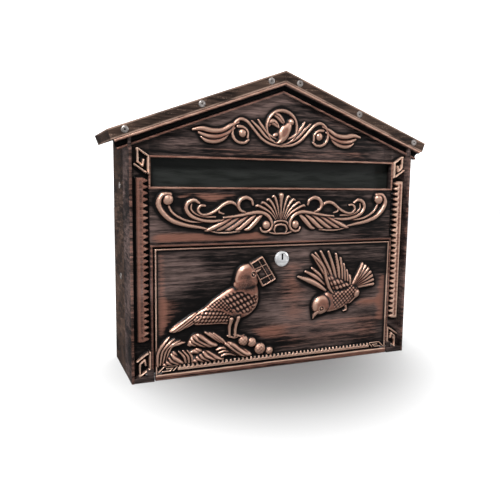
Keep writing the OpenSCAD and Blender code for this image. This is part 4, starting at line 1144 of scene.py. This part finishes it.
def drawPicture():
    half, top = door["half"], door["top"]
    columns = columnSteps((-half, 0), *door["columnSteps"], (half, 1.0))
    canvas = newCanvas(columns, door["splitUp"], top, door["pictureRows"])
    drawDove(canvas)
    drawLetter(canvas)
    drawFlyer(canvas)
    drawRocks(canvas)
    edgeBead(canvas)
    lockAway = np.hypot(canvas["x"][None, :], canvas["z"] - door["lockUp"])
    canvas["height"] = np.where(lockAway < door["lockClear"], -0.4, canvas["height"])
    canvas["rub"] = rubbedBands(canvas, door["rub"])
    carvedPatch("doorPicture", canvas, door["ground"], door["back"], "door", ("door_casting",))


def drawBorder():
    half = door["half"]
    low = newCanvas(columnSteps((-half, 0), (half, border["step"])), border["bottom"],
                    door["splitUp"], door["borderRows"])
    x, z = np.abs(low["x"][None, :]), low["z"]
    pitch, root = border["toothPitch"], border["toothRoot"]
    reach = np.clip((z - root) / 3, 0, 1)
    toothHalf = (border["toothHalf"] - border["toothTaper"] * reach) * pitch
    tooth = np.minimum(toothHalf - fromTooth(low["x"][None, :], pitch), border["toothTop"] - z)
    strip = np.minimum(z - border["low"], np.where(z < root, border["stripTop"] - z, -1))
    inside = np.minimum(np.maximum(tooth, strip),
                        np.minimum(z - border["low"], border["half"] - x))
    rimUp = np.clip((border["rimTop"] - z) / 0.8, 0, 1)
    low["height"] = np.maximum(roundedUp(inside, border["edge"], border["height"]),
                               border["rimHeight"] * rimUp ** 0.5)
    inward, up, width = border["cornerPlace"]
    for flip in (False, True):
        for line in border["cornerLines"]:
            points = [[half - inward - a, up + b, width] for a, b in line]
            rib(low, mirrored(points) if flip else points, steps=1, top=border["cornerHeight"])
    edgeBead(low)
    low["rub"] = border["rub"] * np.clip(low["height"], 0, 1)
    carvedPatch("doorBorder", low, door["ground"], door["back"], "door", ("door_casting",))


def buildDoorWalls():
    half, top = door["half"], door["top"]
    returns = [(half, 4), (half, top), (-half, top), (-half, 4)]
    sweep("doorReturns", returns, door["returns"], "door", castingPatinaAndShading,
          replaced=("door_casting",), rounding=0.3)
    outer, inner, *rest = door["knuckle"]
    knuckles = [(*sorted((s * (half - outer), s * (half - inner))), *rest) for s in (1, -1)]
    boxes("doorKnuckles", knuckles, "door", castingPatinaAndShading, ("door_casting",), 0.8)


drawPicture()
drawBorder()
buildDoorWalls()
print("door carved")


# finish, edge rounding in millimetres, and the CAD nodes that stay and get them
carriedOver = [
    (bodyFinish, 0.3, ["body_wrap"]),
    (panelFinish, 0.2, ["back_panel"]),
    (roofFinish, 0.35, ["roof_sheet"]),
    (rivetFinish, 0, ["roof_rivets_front", "roof_rivets_back", "side_rivets_left",
                      "side_rivets_right", "back_rivets"]),
    (chromeFinish, 0, ["lock_housing"]),
    (plugWithKeywayShade, 0, ["lock_plug"]),
    (zincFinish, 0.3, ["lock_nut"]),
    (zincFinish, 0.25, ["lock_cam"]),
    (zincFinish, 0, ["hinge_pin_left", "hinge_pin_right", "lock_washer", "cam_washer",
                     "cam_screw", "flap_rod", "flap_rod_cap_left", "flap_rod_cap_right"]),
    (flapFinish, 0.2, ["letter_flap"]),
]
for finish, rounding, nodeNames in carriedOver:
    for nodeName in nodeNames:
        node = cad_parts[nodeName]
        node.data.materials.clear()
        node.data.materials.append(finish)
        if rounding:
            soften(node, rounding, weld=True)
print("carried-over nodes finished")


studio = {
    "floorHeight": -0.1502,
    "floorColour": (0.19, 0.19, 0.19),
    # the floor's glow is dim under the box and full further out: a painted shadow round the box
    "floorShadowGlow": (0.06, 1.0),      # under the box, and a hand's width away
    "floorShadowReach": (0.06, 0.32),
    "floorShadowMiddle": 0.054,
    "floorFall": [(-0.109, 0), (-0.12, -0.0006), (-0.14, -0.0028), (-0.20, -0.012),
                  (-0.26, -0.022), (-0.30, -0.026)],
    "worldColour": (0.09, 0.09, 0.094),
    "stageReach": 4.0,
    "backdropColour": (0.9, 0.9, 0.9),
    "backdropGlow": 1.15,
    "lights": {                     # place, width, height, watts
        "keyLight": ((-0.75, -1.05, 1.35), 0.45, 0.45, 43),
        "topLight": ((0.0, 0.30, 1.2), 1.2, 0.4, 34),
        "sideLight": ((-1.9, 0.1, 0.5), 0.5, 1.2, 8),
        "rightLight": ((1.6, -1.0, 0.7), 0.3, 1.2, 8),
    },
    "cameraPlace": (-0.29154, -0.70841, 0.07852),
    "cameraTurn": (82.908, -0.731, -22.35),
    "cameraLens": 39.69,
}


def stagePlane(name, corners, faces, colour, glow):
    mesh = bpy.data.meshes.new(name)
    mesh.from_pydata(corners, [], faces)
    plane = bpy.data.objects.new(name, mesh)
    bpy.context.scene.collection.objects.link(plane)
    material, tree, shader = startMaterial(name + "White")
    # painted shadow: the floor glows dimly under the box and fully further away
    if isinstance(glow, tuple):  # one glow under the box, another further away
        place = tree.nodes.new("ShaderNodeTexCoord")
        around, far = (tree.nodes.new("ShaderNode" + k) for k in ("Mapping", "VectorMath"))
        around.inputs["Scale"].default_value = (1, 1, 0)
        around.inputs["Location"].default_value = (0, studio["floorShadowMiddle"], 0)
        far.operation = "LENGTH"
        tree.links.new(place.outputs["Object"], around.inputs["Vector"])
        tree.links.new(around.outputs[0], far.inputs[0])
        glow = spread(tree, far.outputs["Value"], *studio["floorShadowReach"], *glow)
    feed(tree, shader, base=(*colour, 1), roughness=0.8, specular=0.1, emission=(1, 1, 1, 1),
         glow=glow)
    mesh.materials.append(material)
    plane.visible_glossy = False
    return plane


def buildStudio():
    z, far = studio["floorHeight"], studio["stageReach"]
    # the floor falls away in front, so the open door hangs clear of it
    profile = [(far, 0), *studio["floorFall"], (-far, studio["floorFall"][-1][1])]
    floor = [(x, y, z + fall) for y, fall in profile for x in (-far, far)]
    strips = [(i, i + 2, i + 3, i + 1) for i in range(0, len(floor) - 2, 2)]
    stagePlane("floor", floor, strips, studio["floorColour"], studio["floorShadowGlow"])
    corners = [(a * far, b * far, h) for h in (z, 2 * far)
               for a, b in ((-1, -1), (1, -1), (1, 1), (-1, 1))]
    walls = [(i, (i + 1) % 4, (i + 1) % 4 + 4, i + 4) for i in range(4)]
    backdrop = stagePlane("backdrop", corners, [*walls, (4, 5, 6, 7)], studio["backdropColour"],
                          studio["backdropGlow"])
    backdrop.visible_diffuse = backdrop.visible_shadow = False

    world = bpy.context.scene.world or bpy.data.worlds.new("studioWorld")
    bpy.context.scene.world = world
    world.use_nodes = True
    world.node_tree.nodes["Background"].inputs[0].default_value = (*studio["worldColour"], 1)

    for name, (place, width, height, watts) in studio["lights"].items():
        light = bpy.data.lights.new(name, "AREA")
        light.shape, light.size, light.size_y, light.energy = "RECTANGLE", width, height, watts
        lamp = bpy.data.objects.new(name, light)
        bpy.context.scene.collection.objects.link(lamp)
        lamp.location = place
        lamp.rotation_euler = (-lamp.location).to_track_quat("-Z", "Y").to_euler()

    data = bpy.data.cameras.new("photoCamera")
    data.lens, data.sensor_width = studio["cameraLens"], 36
    camera = bpy.data.objects.new("photoCamera", data)
    bpy.context.scene.collection.objects.link(camera)
    camera.location = studio["cameraPlace"]
    camera.rotation_euler = [math.radians(a) for a in studio["cameraTurn"]]
    bpy.context.scene.camera = camera
    bpy.context.scene.view_settings.view_transform = "Standard"


buildStudio()
print("studio lit")
